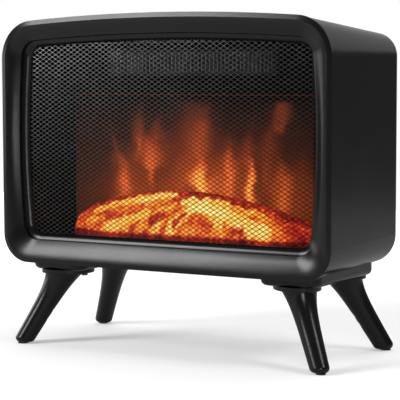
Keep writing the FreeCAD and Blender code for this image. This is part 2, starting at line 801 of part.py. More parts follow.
def firebox_liner():
    wall = LINER_HALF + SHEET_T
    tube = box(-wall, wall, LINER_Y, SCREEN_Y, LINER_FLOOR - SHEET_T, LINER_CEILING + SHEET_T)
    hollow = box(-LINER_HALF, LINER_HALF, LINER_Y - 1, SCREEN_Y + 1, LINER_FLOOR, LINER_CEILING)
    flange = OUTLINE.inset(FRAME_OUT).slab(LINER_Y, LINER_Y + SHEET_T).cut(hollow)
    skirts = [box(-wall, -LINER_HALF, LINER_Y, SCREEN_Y, CHASSIS_TOP, LINER_FLOOR)]
    skirts.append(mirrored(skirts[0]))
    skirts = [piece.cut(box(-wall, wall, LINER_Y, CHASSIS_FRONT, CHASSIS_Z, LINER_FLOOR)) for piece in skirts]
    studs = [rod(SCREW_BOSS_R / 2, V(wall, y, z), V(wall + CONTROL_GAP, y, z)) for y, z in control_points()]
    liner = join([tube.cut(hollow), flange] + skirts + studs)
    return front_holes(liner, HOLE_GAP)


def upper_panel():
    half = LINER_HALF - PANEL_GAP
    plate = box(-half, half, PANEL_Y, PANEL_BACK, SHELF_Z, LINER_CEILING - PANEL_GAP)
    shelf = box(-half, half, PANEL_Y, SCREEN_Y, SHELF_Z, SHELF_Z + SHEET_T)
    mouth_half = GRILLE_HALF - GRILLE_FRAME
    mouth_h = GRILLE_H / 2 - GRILLE_FRAME / 2
    mouth = box(-mouth_half, mouth_half, PANEL_Y - 1, PANEL_BACK + 1, GRILLE_Z - mouth_h, GRILLE_Z + mouth_h)
    return plate.fuse(shelf).removeSplitter().cut(mouth)


def flame_screen():
    half = LINER_HALF + SCREEN_LAP
    return box(-half, half, SCREEN_Y, SCREEN_Y + SCREEN_T, CHASSIS_TOP, SHELF_Z + SHEET_T)


def bed_section(x, shrink):
    """Side profile of the ember bed at x: a toe, a crest and a blunt rear, drawn in by the shrink."""
    fall = BED_LEFT_FALL if x < 0 else BED_RIGHT_FALL
    rise = BED_END_H + (BED_H - BED_END_H) * max(0.0, 1 - (abs(x) / BED_HALF) ** fall)
    toe = V(x, LINER_Y + BED_FRONT + shrink * 2, LINER_FLOOR)
    rear = SCREEN_Y - BED_WALL - shrink
    crest = V(x, LINER_Y + BED_CREST, LINER_FLOOR + rise - shrink)
    nape = V(x, rear, LINER_FLOOR + rise * BED_REAR_SHARE - shrink)
    heel = V(x, rear, LINER_FLOOR)
    brow = V(x, (toe.y + crest.y) / 2, (toe.z + crest.z * 2) / 3 + rise / 10)
    return Part.Wire([line(heel, toe), arc(toe, brow, crest), line(crest, nape), line(nape, heel)])


def bed_mound(half, shrink):
    xs = [half * (2 * i / (BED_STATIONS - 1) - 1) for i in range(BED_STATIONS)]
    return Part.makeLoft([bed_section(x, shrink) for x in xs], True, False)


def ember_log(x0, y0, x1, y1, lift0, lift1):
    start = V(x0, y0, LINER_FLOOR + lift0)
    end = V(x1, y1, LINER_FLOOR + lift1)
    return Part.makeCone(LOG_R, LOG_R * 0.75, (end - start).Length, start, end - start)


def ember_bed():
    """Moulded shell of coals with four log forms across it, open underneath."""
    mound = bed_mound(BED_HALF, 0)
    y = LINER_Y + BED_FRONT
    logs = [
        ember_log(-96, y + 34, -22, y + 22, 27, 30),
        ember_log(-40, y + 16, 34, y + 34, 19, 40),
        ember_log(12, y + 32, 92, y + 18, 40, 20),
        ember_log(58, y + 14, 112, y + 32, 12, 27),
    ]
    outer = join([mound] + logs)
    hollow = bed_mound(BED_HALF - BED_WALL * 2, BED_WALL * 2)
    return outer.cut(hollow)


def chassis_plate():
    half = LINER_HALF - PANEL_GAP * 10
    plate = box(-half - SHEET_T * 6, half + SHEET_T * 6, CHASSIS_FRONT, CHASSIS_END, CHASSIS_Z, CHASSIS_TOP)
    pads = [rod(SCREW_R * 2, V(x, SPINDLE_Y, CHASSIS_TOP), V(x, SPINDLE_Y, CHASSIS_TOP + BOARD_LIFT))
            for x in (-BOARD_L * 0.45, BOARD_L * 0.45)]
    holes = [screw_hole(V(x, y, CHASSIS_Z), UP, CHASSIS_T * 2, HOLE_GAP) for x, y in chassis_points()]
    return join([plate] + pads).cut(Part.makeCompound(holes))


def chassis_screws():
    grip = CHASSIS_T + SCREW_DEPTH * 0.7
    return [screw(V(x, y, CHASSIS_TOP), -UP, grip) for x, y in chassis_points()]


# Light boards

def lamp(x, y, z):
    body = rod(LAMP_R, V(x, y, z), V(x, y, z + LAMP_H))
    top = [e for e in body.Edges if e.BoundBox.ZMin > z + LAMP_H - 0.01]
    return body.makeFillet(LAMP_R * 0.6, top)


def light_board(length, y, z):
    half = length / 2
    board = box(-half, half, y - BOARD_W / 2, y + BOARD_W / 2, z, z + BOARD_T)
    pitch = length / LAMP_COUNT
    xs = [(i - (LAMP_COUNT - 1) / 2) * pitch for i in range(LAMP_COUNT)]
    return board, [lamp(x, y, z + BOARD_T) for x in xs]


# Flame spindle

def spindle_shaft():
    end = V(SPINDLE_L / 2, SPINDLE_Y, SPINDLE_Z)
    return rod(SPINDLE_R, V(-end.x, end.y, end.z), end)


def foil(index):
    """A collar on the spindle with bent-out reflecting blades."""
    pitch = (SPINDLE_L - BRACKET_FOOT * 4) / FOIL_COUNT
    x = (index - (FOIL_COUNT - 1) / 2) * pitch
    centre = V(x, SPINDLE_Y, SPINDLE_Z)
    pieces = [rod(COLLAR_R, centre - RIGHT * COLLAR_L / 2, centre + RIGHT * COLLAR_L / 2)]
    for blade in range(FOIL_BLADES):
        inner = SPINDLE_R + RUN_GAP
        plate = box(x - FOIL_W / 2, x + FOIL_W / 2, SPINDLE_Y - FOIL_T / 2, SPINDLE_Y + FOIL_T / 2,
                    SPINDLE_Z + inner, SPINDLE_Z + FOIL_R)
        plate.rotate(centre, UP, FOIL_TURN / 2)
        plate.rotate(centre, RIGHT, FULL_TURN * blade / FOIL_BLADES + index * FOIL_TURN)
        pieces.append(plate)
    bore = rod(SPINDLE_R, centre - RIGHT * FOIL_W, centre + RIGHT * FOIL_W)
    return join(pieces).cut(bore)


def spindle_bracket(x, bore):
    """An upright on the chassis with a foot, and a hole for what it carries."""
    y0 = SPINDLE_Y - BRACKET_W / 2
    y1 = SPINDLE_Y + BRACKET_W / 2
    top = SPINDLE_Z + BRACKET_W / 2
    upright = box(x, x + BRACKET_T, y0, y1, CHASSIS_TOP, top)
    crown = [e for e in upright.Edges if e.BoundBox.ZMin > top - 0.01 and e.BoundBox.XLength > BRACKET_T / 2]
    upright = upright.makeFillet(BRACKET_W / 4, [e for e in crown if e.BoundBox.YLength < 0.01])
    foot = box(x, x + BRACKET_FOOT, y0, y1, CHASSIS_TOP, CHASSIS_TOP + BRACKET_T)
    hole = rod(bore, V(x - 1, SPINDLE_Y, SPINDLE_Z), V(x + BRACKET_T + 1, SPINDLE_Y, SPINDLE_Z))
    return upright.fuse(foot).removeSplitter().cut(hole)


SPINDLE_END = SPINDLE_L / 2
LEFT_BRACKET_X = -SPINDLE_END + SPINDLE_BUSH_L / 2 - BRACKET_T / 2
RIGHT_BRACKET_X = SPINDLE_END - GEARMOTOR_L / 2 - BRACKET_T


def spindle_bush():
    middle = V(LEFT_BRACKET_X + BRACKET_T / 2, SPINDLE_Y, SPINDLE_Z)
    half = RIGHT * SPINDLE_BUSH_L / 2
    ring = rod(SPINDLE_BUSH_R, middle - half, middle + half)
    return ring.cut(rod(SPINDLE_R + RUN_GAP, middle - half * 2, middle + half * 2))


def flame_motor():
    """Synchronous gear motor: a flat can behind the right bracket, with its output bore."""
    x = RIGHT_BRACKET_X + BRACKET_T
    start = V(x, SPINDLE_Y, SPINDLE_Z)
    can = rod(GEARMOTOR_R, start, start + RIGHT * GEARMOTOR_L)
    far = [e for e in can.Edges if e.Closed and e.CenterOfMass.x > x + 1]
    can = can.makeFillet(BRACKET_T, far)
    return can.cut(rod(SPINDLE_R + RUN_GAP, start - RIGHT, V(SPINDLE_END + 1, SPINDLE_Y, SPINDLE_Z)))


# Heater duct and blower

def outlet_grille():
    low = GRILLE_Z - GRILLE_H / 2
    high = GRILLE_Z + GRILLE_H / 2
    face = box(-GRILLE_HALF, GRILLE_HALF, PANEL_Y - GRILLE_FACE_T, PANEL_Y, low, high)
    corners = [e for e in face.Edges if e.BoundBox.YLength > GRILLE_FACE_T / 2]
    face = face.makeFillet(GRILLE_FRAME, corners)
    mouth_half = GRILLE_HALF - GRILLE_FRAME - FIT_GAP
    mouth_h = GRILLE_H / 2 - GRILLE_FRAME / 2 - FIT_GAP
    back = PANEL_Y + GRILLE_SPIGOT_D
    spigot = box(-mouth_half, mouth_half, PANEL_Y, back, GRILLE_Z - mouth_h, GRILLE_Z + mouth_h)
    open_half = mouth_half - GRILLE_FRAME / 2
    open_h = mouth_h - GRILLE_FRAME / 2
    front = PANEL_Y - GRILLE_FACE_T * 2
    opening = box(-open_half, open_half, front, back + 1, GRILLE_Z - open_h, GRILLE_Z + open_h)
    count = int(open_half / GRILLE_FIN_PITCH)
    half = GRILLE_FIN_T / 2
    xs = [i * GRILLE_FIN_PITCH for i in range(-count, count + 1)]
    fins = [box(x - half, x + half, PANEL_Y, back, GRILLE_Z - mouth_h, GRILLE_Z + mouth_h) for x in xs]
    return join([face.fuse(spigot).cut(opening)] + fins)


def heater_frame():
    back = HEATER_Y + HEATER_T
    ring = box(-DUCT_HALF, DUCT_HALF, HEATER_Y, back, DUCT_LOW, DUCT_TOP)
    half = DUCT_HALF - HEATER_FRAME_W
    low = DUCT_LOW + HEATER_FRAME_H
    high = DUCT_TOP - HEATER_FRAME_H
    return ring.cut(box(-half, half, HEATER_Y - 1, back + 1, low, high))


def heater_element():
    """Finned heating block: upright aluminium fins between flat bars."""
    half = DUCT_HALF - HEATER_FRAME_W
    low = DUCT_LOW + HEATER_FRAME_H
    high = DUCT_TOP - HEATER_FRAME_H
    front = HEATER_Y + SHEET_T
    back = HEATER_Y + HEATER_T - SHEET_T
    levels = (low, GRILLE_Z - HEATER_BAR_H / 2, high - HEATER_BAR_H)
    bars = [box(-half, half, front, back, z, z + HEATER_BAR_H) for z in levels]
    count = int((half - HEATER_FIN_T) / HEATER_FIN_PITCH)
    fins = [box(x - HEATER_FIN_T / 2, x + HEATER_FIN_T / 2, front, back, low, high)
            for x in (i * HEATER_FIN_PITCH for i in range(-count, count + 1))]
    return join(bars + fins)


SCROLL_R = WHEEL_R + SCROLL_GAP


def scroll_wall():
    """Floor of the duct and the scroll under the wheel, one wall that runs tangent into the arc."""
    away_y = DUCT_KNEE_Y - WHEEL_Y
    away_z = DUCT_LOW - WHEEL_Z
    touch = math.atan2(away_z, away_y) + math.acos(SCROLL_R / math.hypot(away_y, away_z))
    end = math.radians(SCROLL_END)

    def around(radius, angle):
        return V(0, WHEEL_Y + radius * math.cos(angle), WHEEL_Z + radius * math.sin(angle))

    inner_touch = around(SCROLL_R, touch)
    knee = V(0, DUCT_KNEE_Y, DUCT_LOW)
    slope = math.atan2(knee.z - inner_touch.z, inner_touch.y - knee.y)
    outer_knee = V(0, DUCT_KNEE_Y - DUCT_WALL * math.tan(slope / 2), DUCT_LOW - DUCT_WALL)
    outer_r = SCROLL_R + DUCT_WALL
    middle = (touch + end) / 2
    front = V(0, PANEL_BACK, DUCT_LOW)
    outer_front = V(0, PANEL_BACK, DUCT_LOW - DUCT_WALL)
    edges = [
        line(front, knee),
        line(knee, inner_touch),
        arc(inner_touch, around(SCROLL_R, middle), around(SCROLL_R, end)),
        line(around(SCROLL_R, end), around(outer_r, end)),
        arc(around(outer_r, end), around(outer_r, middle), around(outer_r, touch)),
        line(around(outer_r, touch), outer_knee),
        line(outer_knee, outer_front),
        line(outer_front, front),
    ]
    return extrude_x(edges, -DUCT_HALF, DUCT_HALF)


def blower_housing():
    tongue = math.sqrt(max((WHEEL_R + TONGUE_GAP) ** 2 - (DUCT_TOP - WHEEL_Z) ** 2, 1.0))
    roof = box(-DUCT_HALF, DUCT_HALF, PANEL_BACK, WHEEL_Y - tongue, DUCT_TOP, DUCT_TOP + DUCT_WALL)
    outer = SCROLL_R + DUCT_WALL
    plate_points = [
        (PANEL_BACK, DUCT_LOW - DUCT_WALL),
        (DUCT_KNEE_Y, DUCT_LOW - DUCT_WALL),
        (WHEEL_Y - outer * 0.6, WHEEL_Z - outer),
        (WHEEL_Y + outer * 0.6, WHEEL_Z - outer),
        (WHEEL_Y + outer, WHEEL_Z - outer * 0.5),
        (WHEEL_Y + outer, WHEEL_Z + outer * 0.4),
        (WHEEL_Y + outer * 0.6, DUCT_TOP + DUCT_WALL),
        (PANEL_BACK, DUCT_TOP + DUCT_WALL),
    ]
    plate = prism_x(plate_points, DUCT_HALF, DUCT_HALF + DUCT_WALL)
    tab_x = DUCT_HALF + DUCT_WALL
    tab = box(tab_x, tab_x + BRACKET_FOOT, PANEL_BACK, PANEL_BACK + DUCT_WALL, DUCT_LOW, DUCT_TOP)
    sides = [plate, tab, mirrored(plate), mirrored(tab)]
    axis = V(DUCT_HALF, WHEEL_Y, WHEEL_Z)
    right_hole = rod(HUB_R + TONGUE_GAP, axis - RIGHT, axis + RIGHT * DUCT_WALL * 2)
    left = V(-DUCT_HALF, WHEEL_Y, WHEEL_Z)
    left_hole = rod(BUSH_R, left + RIGHT, left - RIGHT * DUCT_WALL * 2)
    return join([scroll_wall(), roof] + sides).cut(Part.makeCompound([right_hole, left_hole]))


def wheel_blade(index):
    """One forward-curved blade, an arc strip that runs the length of the wheel."""
    start = FULL_TURN * index / WHEEL_BLADES
    outer_r = WHEEL_R - BLADE_EDGE

    def at(radius, degrees):
        angle = math.radians(degrees)
        return V(0, WHEEL_Y + radius * math.cos(angle), WHEEL_Z + radius * math.sin(angle))

    middle_r = (BLADE_IN_R + outer_r) / 2
    faces = []
    for turn in (start, start + BLADE_T_DEG):
        bend = at(middle_r, turn + BLADE_LEAN * BLADE_BEND)
        faces.append([at(BLADE_IN_R, turn), bend, at(outer_r, turn + BLADE_LEAN)])
    front, back = faces
    edges = [arc(*front), line(front[2], back[2]), arc(back[2], back[1], back[0]), line(back[0], front[0])]
    return extrude_x(edges, -WHEEL_HALF, WHEEL_HALF)


def blower_wheel():
    centre = V(0, WHEEL_Y, WHEEL_Z)
    discs = []
    for x in (-WHEEL_HALF, -WHEEL_DISC_T / 2, WHEEL_HALF - WHEEL_DISC_T):
        discs.append(rod(WHEEL_R, centre + RIGHT * x, centre + RIGHT * (x + WHEEL_DISC_T)))
    middle_hole = rod(BLADE_IN_R - 1, centre - RIGHT * WHEEL_DISC_T, centre + RIGHT * WHEEL_DISC_T)
    discs[1] = discs[1].cut(middle_hole)
    hub = rod(HUB_R, centre + RIGHT * (WHEEL_HALF - HUB_L), centre + RIGHT * WHEEL_HALF)
    journal_end = DUCT_HALF + BUSH_L - SHEET_T
    journal = rod(SHAFT_R, centre - RIGHT * journal_end, centre - RIGHT * (WHEEL_HALF - WHEEL_DISC_T))
    blades = [wheel_blade(i) for i in range(WHEEL_BLADES)]
    bore = rod(SHAFT_R, centre + RIGHT * (WHEEL_HALF - HUB_L - 1), centre + RIGHT * (WHEEL_HALF + 1))
    return join(discs + [hub, journal] + blades).cut(bore)


MOTOR_X = DUCT_HALF + DUCT_WALL


def blower_shaft():
    centre = V(0, WHEEL_Y, WHEEL_Z)
    return rod(SHAFT_R, centre + RIGHT * (WHEEL_HALF - HUB_L), centre + RIGHT * (MOTOR_X + MOTOR_L * 0.8))


def blower_bush():
    start = V(-DUCT_HALF, WHEEL_Y, WHEEL_Z)
    ring = rod(BUSH_R, start, start - RIGHT * BUSH_L)
    return ring.cut(rod(SHAFT_R + RUN_GAP, start + RIGHT, start - RIGHT * (BUSH_L + 1)))


def blower_motor():
    half = MOTOR_PLATE / 2
    face = MOTOR_X + MOTOR_PLATE_T
    plate = box(MOTOR_X, face, WHEEL_Y - half, WHEEL_Y + half, WHEEL_Z - MOTOR_R, WHEEL_Z + MOTOR_R)
    start = V(MOTOR_X, WHEEL_Y, WHEEL_Z)
    can = rod(MOTOR_R, start, start + RIGHT * MOTOR_L)
    far = [e for e in can.Edges if e.Closed and e.CenterOfMass.x > MOTOR_X + 1]
    can = can.makeFillet(MOTOR_PLATE_T, far)
    bore = rod(SHAFT_R + RUN_GAP, start - RIGHT, start + RIGHT * MOTOR_L * 0.9)
    return can.fuse(plate).removeSplitter().cut(bore)


def thermal_cutout():
    seat = V(0, SCREEN_Y + SCREEN_T + CUTOUT_R, DUCT_TOP + DUCT_WALL)
    disc = rod(CUTOUT_R, seat, seat + UP * CUTOUT_H)
    y = seat.y + CUTOUT_R
    z = seat.z + CUTOUT_H / 2
    xs = (-CUTOUT_R / 2, CUTOUT_R / 2)
    blades = [box(x - SCREW_R, x + SCREW_R, y - CUTOUT_R / 3, y + CUTOUT_R, z, z + SHEET_T) for x in xs]
    return join([disc] + blades)


# Electrics

def control_points():
    low = LINER_FLOOR + CONTROL_RAISE
    ys = (CONTROL_Y + SCREW_BOSS_R, CONTROL_Y + CONTROL_D - SCREW_BOSS_R)
    zs = (low + SCREW_BOSS_R, low + CONTROL_H - SCREW_BOSS_R)
    return [(y, z) for y in ys for z in zs]


def control_board():
    x = LINER_HALF + SHEET_T + CONTROL_GAP
    low = LINER_FLOOR + CONTROL_RAISE
    board = box(x, x + BOARD_T, CONTROL_Y, CONTROL_Y + CONTROL_D, low, low + CONTROL_H)
    face = x + BOARD_T
    y = CONTROL_Y + SCREW_BOSS_R * 2
    relays = [box(face, face + RELAY, y, y + RELAY * 1.5, z, z + RELAY * 1.6)
              for z in (low + RELAY, low + RELAY * 3.2)]
    can_y = CONTROL_Y + CONTROL_D - RELAY
    can_z = low + CONTROL_H / 2
    capacitor = rod(RELAY * 0.4, V(face, can_y, can_z), V(face + RELAY, can_y, can_z))
    return join([board, capacitor] + relays)


def tilt_switch():
    x = -LINER_HALF
    y0 = SPINDLE_Y - TILT_D / 2
    body = box(x, x + TILT_W, y0, y0 + TILT_D, CHASSIS_TOP, CHASSIS_TOP + TILT_H)
    return body.makeFillet(BRACKET_T, [e for e in body.Edges if e.BoundBox.ZLength > TILT_H / 2])


def terminal_block():
    x = RIGHT_BRACKET_X + BRACKET_T + GEARMOTOR_L + BRACKET_T
    y0 = SPINDLE_Y - TERMINAL_D / 2
    body = box(x, x + TERMINAL_W, y0, y0 + TERMINAL_D, CHASSIS_TOP, CHASSIS_TOP + TERMINAL_H)
    pitch = TERMINAL_D / 3
    middles = [(x + TERMINAL_W / 2, y0 + pitch * (i + 0.5)) for i in range(3)]
    wells = posts_z(SCREW_R, middles, CHASSIS_TOP + TERMINAL_H / 2, CHASSIS_TOP + TERMINAL_H + 1)
    return body.cut(Part.makeCompound(wells))


def cord_gland():
    """Flanged bush in the rear cover that the mains lead passes through."""
    back = V(GLAND_X, CASE_DEPTH + GLAND_FLANGE_T, GLAND_Z)
    flange = rod(GLAND_FLANGE_R, V(GLAND_X, CASE_DEPTH, GLAND_Z), back)
    rim = [e for e in flange.Edges if e.Closed and e.CenterOfMass.y > CASE_DEPTH + 0.01]
    flange = flange.makeFillet(GLAND_FLANGE_T / 2, rim)
    body = rod(GLAND_BODY_R, back - AHEAD * GLAND_L, back)
    bore = rod(GLAND_BORE_R, back - AHEAD * (GLAND_L + 1), back + AHEAD)
    return flange.fuse(body).removeSplitter().cut(bore)


# Rocker switches: the pivot runs along x, a little inside the cover's outer face

PIVOT_Y = CASE_DEPTH + SWITCH_RIM_T - PIVOT_SINK - PIVOT_R


def switch_housing(x):
    half_w = SWITCH_BODY_W / 2
    half_h = SWITCH_BODY_H / 2
    rim_y = CASE_DEPTH + SWITCH_RIM_T
    rim = box(x - half_w - SWITCH_RIM, x + half_w + SWITCH_RIM, CASE_DEPTH, rim_y,
              SWITCH_Z - half_h - SWITCH_RIM, SWITCH_Z + half_h + SWITCH_RIM)
    rim = rim.makeFillet(SWITCH_RIM, [e for e in rim.Edges if e.BoundBox.YLength > SWITCH_RIM_T / 2])
    inner_y = rim_y - SWITCH_BODY_D
    body = box(x - half_w, x + half_w, inner_y, CASE_DEPTH, SWITCH_Z - half_h, SWITCH_Z + half_h)
    well = box(x - WELL_HALF_W, x + WELL_HALF_W, rim_y - WELL_D, rim_y + 1,
               SWITCH_Z - WELL_HALF_H, SWITCH_Z + WELL_HALF_H)
    reach = ROCKER_HALF_W + PIVOT_L + RUN_GAP
    bore = rod(PIVOT_R + RUN_GAP, V(x - reach, PIVOT_Y, SWITCH_Z), V(x + reach, PIVOT_Y, SWITCH_Z))
    return rim.fuse(body).removeSplitter().cut(well).cut(bore)


def rocker(x):
    """A rocker cap with a shallow V face and two stub pivots, leaning to its off side at rest."""
    points = [
        (PIVOT_Y - ROCKER_BACK, SWITCH_Z - ROCKER_HALF_H * 0.6),
        (PIVOT_Y - ROCKER_BACK, SWITCH_Z + ROCKER_HALF_H * 0.6),
        (PIVOT_Y, SWITCH_Z + ROCKER_HALF_H),
        (PIVOT_Y + ROCKER_RISE, SWITCH_Z + ROCKER_HALF_H * 0.95),
        (PIVOT_Y + ROCKER_VALLEY, SWITCH_Z),
        (PIVOT_Y + ROCKER_RISE, SWITCH_Z - ROCKER_HALF_H * 0.95),
        (PIVOT_Y, SWITCH_Z - ROCKER_HALF_H),
    ]
    cap = prism_x(points, x - ROCKER_HALF_W, x + ROCKER_HALF_W)
    reach = ROCKER_HALF_W + PIVOT_L
    pivot = rod(PIVOT_R, V(x - reach, PIVOT_Y, SWITCH_Z), V(x + reach, PIVOT_Y, SWITCH_Z))
    shape = cap.fuse(pivot).removeSplitter()
    shape.rotate(V(x, PIVOT_Y, SWITCH_Z), RIGHT, -ROCKER_TILT)
    return shape


# All pieces by name

def build():
    ember_board, ember_lamps = light_board(BOARD_L, LINER_Y + BED_CREST - BOARD_W, LINER_FLOOR)
    flame_board, flame_lamps = light_board(BOARD_L, SPINDLE_Y, CHASSIS_TOP + BOARD_LIFT)
    pieces = {
        "front_bezel": front_bezel(),
        "mesh_frame": mesh_frame(),
        "front_mesh": front_mesh(),
        "front_screws": front_screws(),
        "case_shell": case_shell(),
        "rear_cover": rear_cover(),
        "rear_cover_screws": rear_cover_screws(),
        "foot_rail_left": foot_rail(-1),
        "foot_rail_right": foot_rail(1),
        "foot_pads": [foot_pad(side, end) for side in (-1, 1) for end in (-1, 1)],
        "leg_screws": leg_screws(),
        "rail_screws": rail_screws(),
        "firebox_liner": firebox_liner(),
        "upper_panel": upper_panel(),
        "flame_screen": flame_screen(),
        "ember_bed": ember_bed(),
        "chassis_plate": chassis_plate(),
        "chassis_screws": chassis_screws(),
        "ember_light_board": ember_board,
        "ember_lamps": ember_lamps,
        "flame_light_board": flame_board,
        "flame_lamps": flame_lamps,
        "spindle_shaft": spindle_shaft(),
        "spindle_foils": [foil(i) for i in range(FOIL_COUNT)],
        "spindle_bracket": spindle_bracket(LEFT_BRACKET_X, SPINDLE_BUSH_R),
        "motor_bracket": spindle_bracket(RIGHT_BRACKET_X, SPINDLE_R * 2),
        "spindle_bush": spindle_bush(),
        "flame_motor": flame_motor(),
        "outlet_grille": outlet_grille(),
        "heater_frame": heater_frame(),
        "heater_element": heater_element(),
        "blower_housing": blower_housing(),
        "blower_wheel": blower_wheel(),
        "blower_shaft": blower_shaft(),
        "blower_bush": blower_bush(),
        "blower_motor": blower_motor(),
        "thermal_cutout": thermal_cutout(),
        "control_board": control_board(),
        "tilt_switch": tilt_switch(),
        "terminal_block": terminal_block(),
        "cord_gland": cord_gland(),
    }
    for name, end in (("front", -1), ("rear", 1)):
        pieces[f"leg_{name}_left"] = leg(-1, end)
        pieces[f"leg_{name}_right"] = leg(1, end)
    for name, x in zip(("flame", "heat"), switch_centres()):
        pieces[f"{name}_switch_housing"] = switch_housing(x)
        pieces[f"{name}_rocker"] = rocker(x)
    return pieces


def main():
    os.makedirs("parts", exist_ok=True)
    pieces = build()
    back = pieces["leg_rear_right"].optimalBoundingBox().YMax
    middle = (back - RIDGE_RISE) / 2
    for node, piece in pieces.items():
        shape = Part.makeCompound(piece) if isinstance(piece, list) else piece
        shape.translate(V(0, -middle, 0))
        solids = len(shape.Solids)
        print(f"{node}: solids {solids}, valid {shape.isValid()}, volume {shape.Volume:.0f}")
        shape.exportStep(f"parts/{node}.step")
    print(f"middle {middle:.4f}")
    print(f"spindle axis y {SPINDLE_Y - middle:.4f} z {SPINDLE_Z:.4f}")
    print(f"wheel axis y {WHEEL_Y - middle:.4f} z {WHEEL_Z:.4f}")
    print(f"rocker axis x {switch_centres()} y {PIVOT_Y - middle:.4f} z {SWITCH_Z:.4f}")
    print(f"gland x {GLAND_X} y {CASE_DEPTH + GLAND_FLANGE_T - middle:.4f} z {GLAND_Z:.4f}")


main()
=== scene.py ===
import logging
import math
from dataclasses import astuple, dataclass
from enum import Enum

import bmesh
import bpy
from mathutils import Matrix, Vector, noise


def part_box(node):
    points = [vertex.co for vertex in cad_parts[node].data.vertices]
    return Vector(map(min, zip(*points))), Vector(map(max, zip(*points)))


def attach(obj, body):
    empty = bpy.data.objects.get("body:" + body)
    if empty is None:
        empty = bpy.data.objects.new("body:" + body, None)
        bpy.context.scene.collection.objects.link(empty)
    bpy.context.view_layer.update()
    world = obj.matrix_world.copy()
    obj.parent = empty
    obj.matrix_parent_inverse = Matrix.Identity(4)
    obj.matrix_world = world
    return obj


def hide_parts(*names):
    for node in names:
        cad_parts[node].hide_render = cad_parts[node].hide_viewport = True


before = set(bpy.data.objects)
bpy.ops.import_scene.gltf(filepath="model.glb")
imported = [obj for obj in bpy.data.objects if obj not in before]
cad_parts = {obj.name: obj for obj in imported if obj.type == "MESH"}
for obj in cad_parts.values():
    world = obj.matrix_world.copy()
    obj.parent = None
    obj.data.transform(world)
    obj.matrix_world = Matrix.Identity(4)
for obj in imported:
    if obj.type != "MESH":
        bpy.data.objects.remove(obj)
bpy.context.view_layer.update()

log = logging.getLogger("tabletop_fireplace")
MM = 0.001
CABINET = "cabinet"

Colour = tuple[float, float, float, float]
Place = tuple[float, float, float]
Span = tuple[float, float]
Stops = tuple[tuple[float, Colour], ...]
Socket = bpy.types.NodeSocket
Value = Socket | float

# The range that most of a noise texture's values lie in, and the narrower range of its core.
NOISE_MOST: Span = (0.25, 0.75)
NOISE_CORE: Span = (0.3, 0.7)
WHOLE: Span = (0.0, 1.0)


class Slot(Enum):
    """Material slots named in the record; nothing in the script reads them."""

    MESH = "mesh_metal"
    EMBERS = "ember_resin"


class Kind(Enum):
    """What a socket of a node group carries."""

    NUMBER = "NodeSocketFloat"
    VECTOR = "NodeSocketVector"


def grey(level: float) -> Colour:
    """Gives a neutral colour."""
    return (level, level, level, 1.0)


def ease(value: float, start: float, end: float) -> float:
    """Tells how far a value has come from start to end, from 0 to 1."""
    return min(max((value - start) / (end - start), 0.0), 1.0)


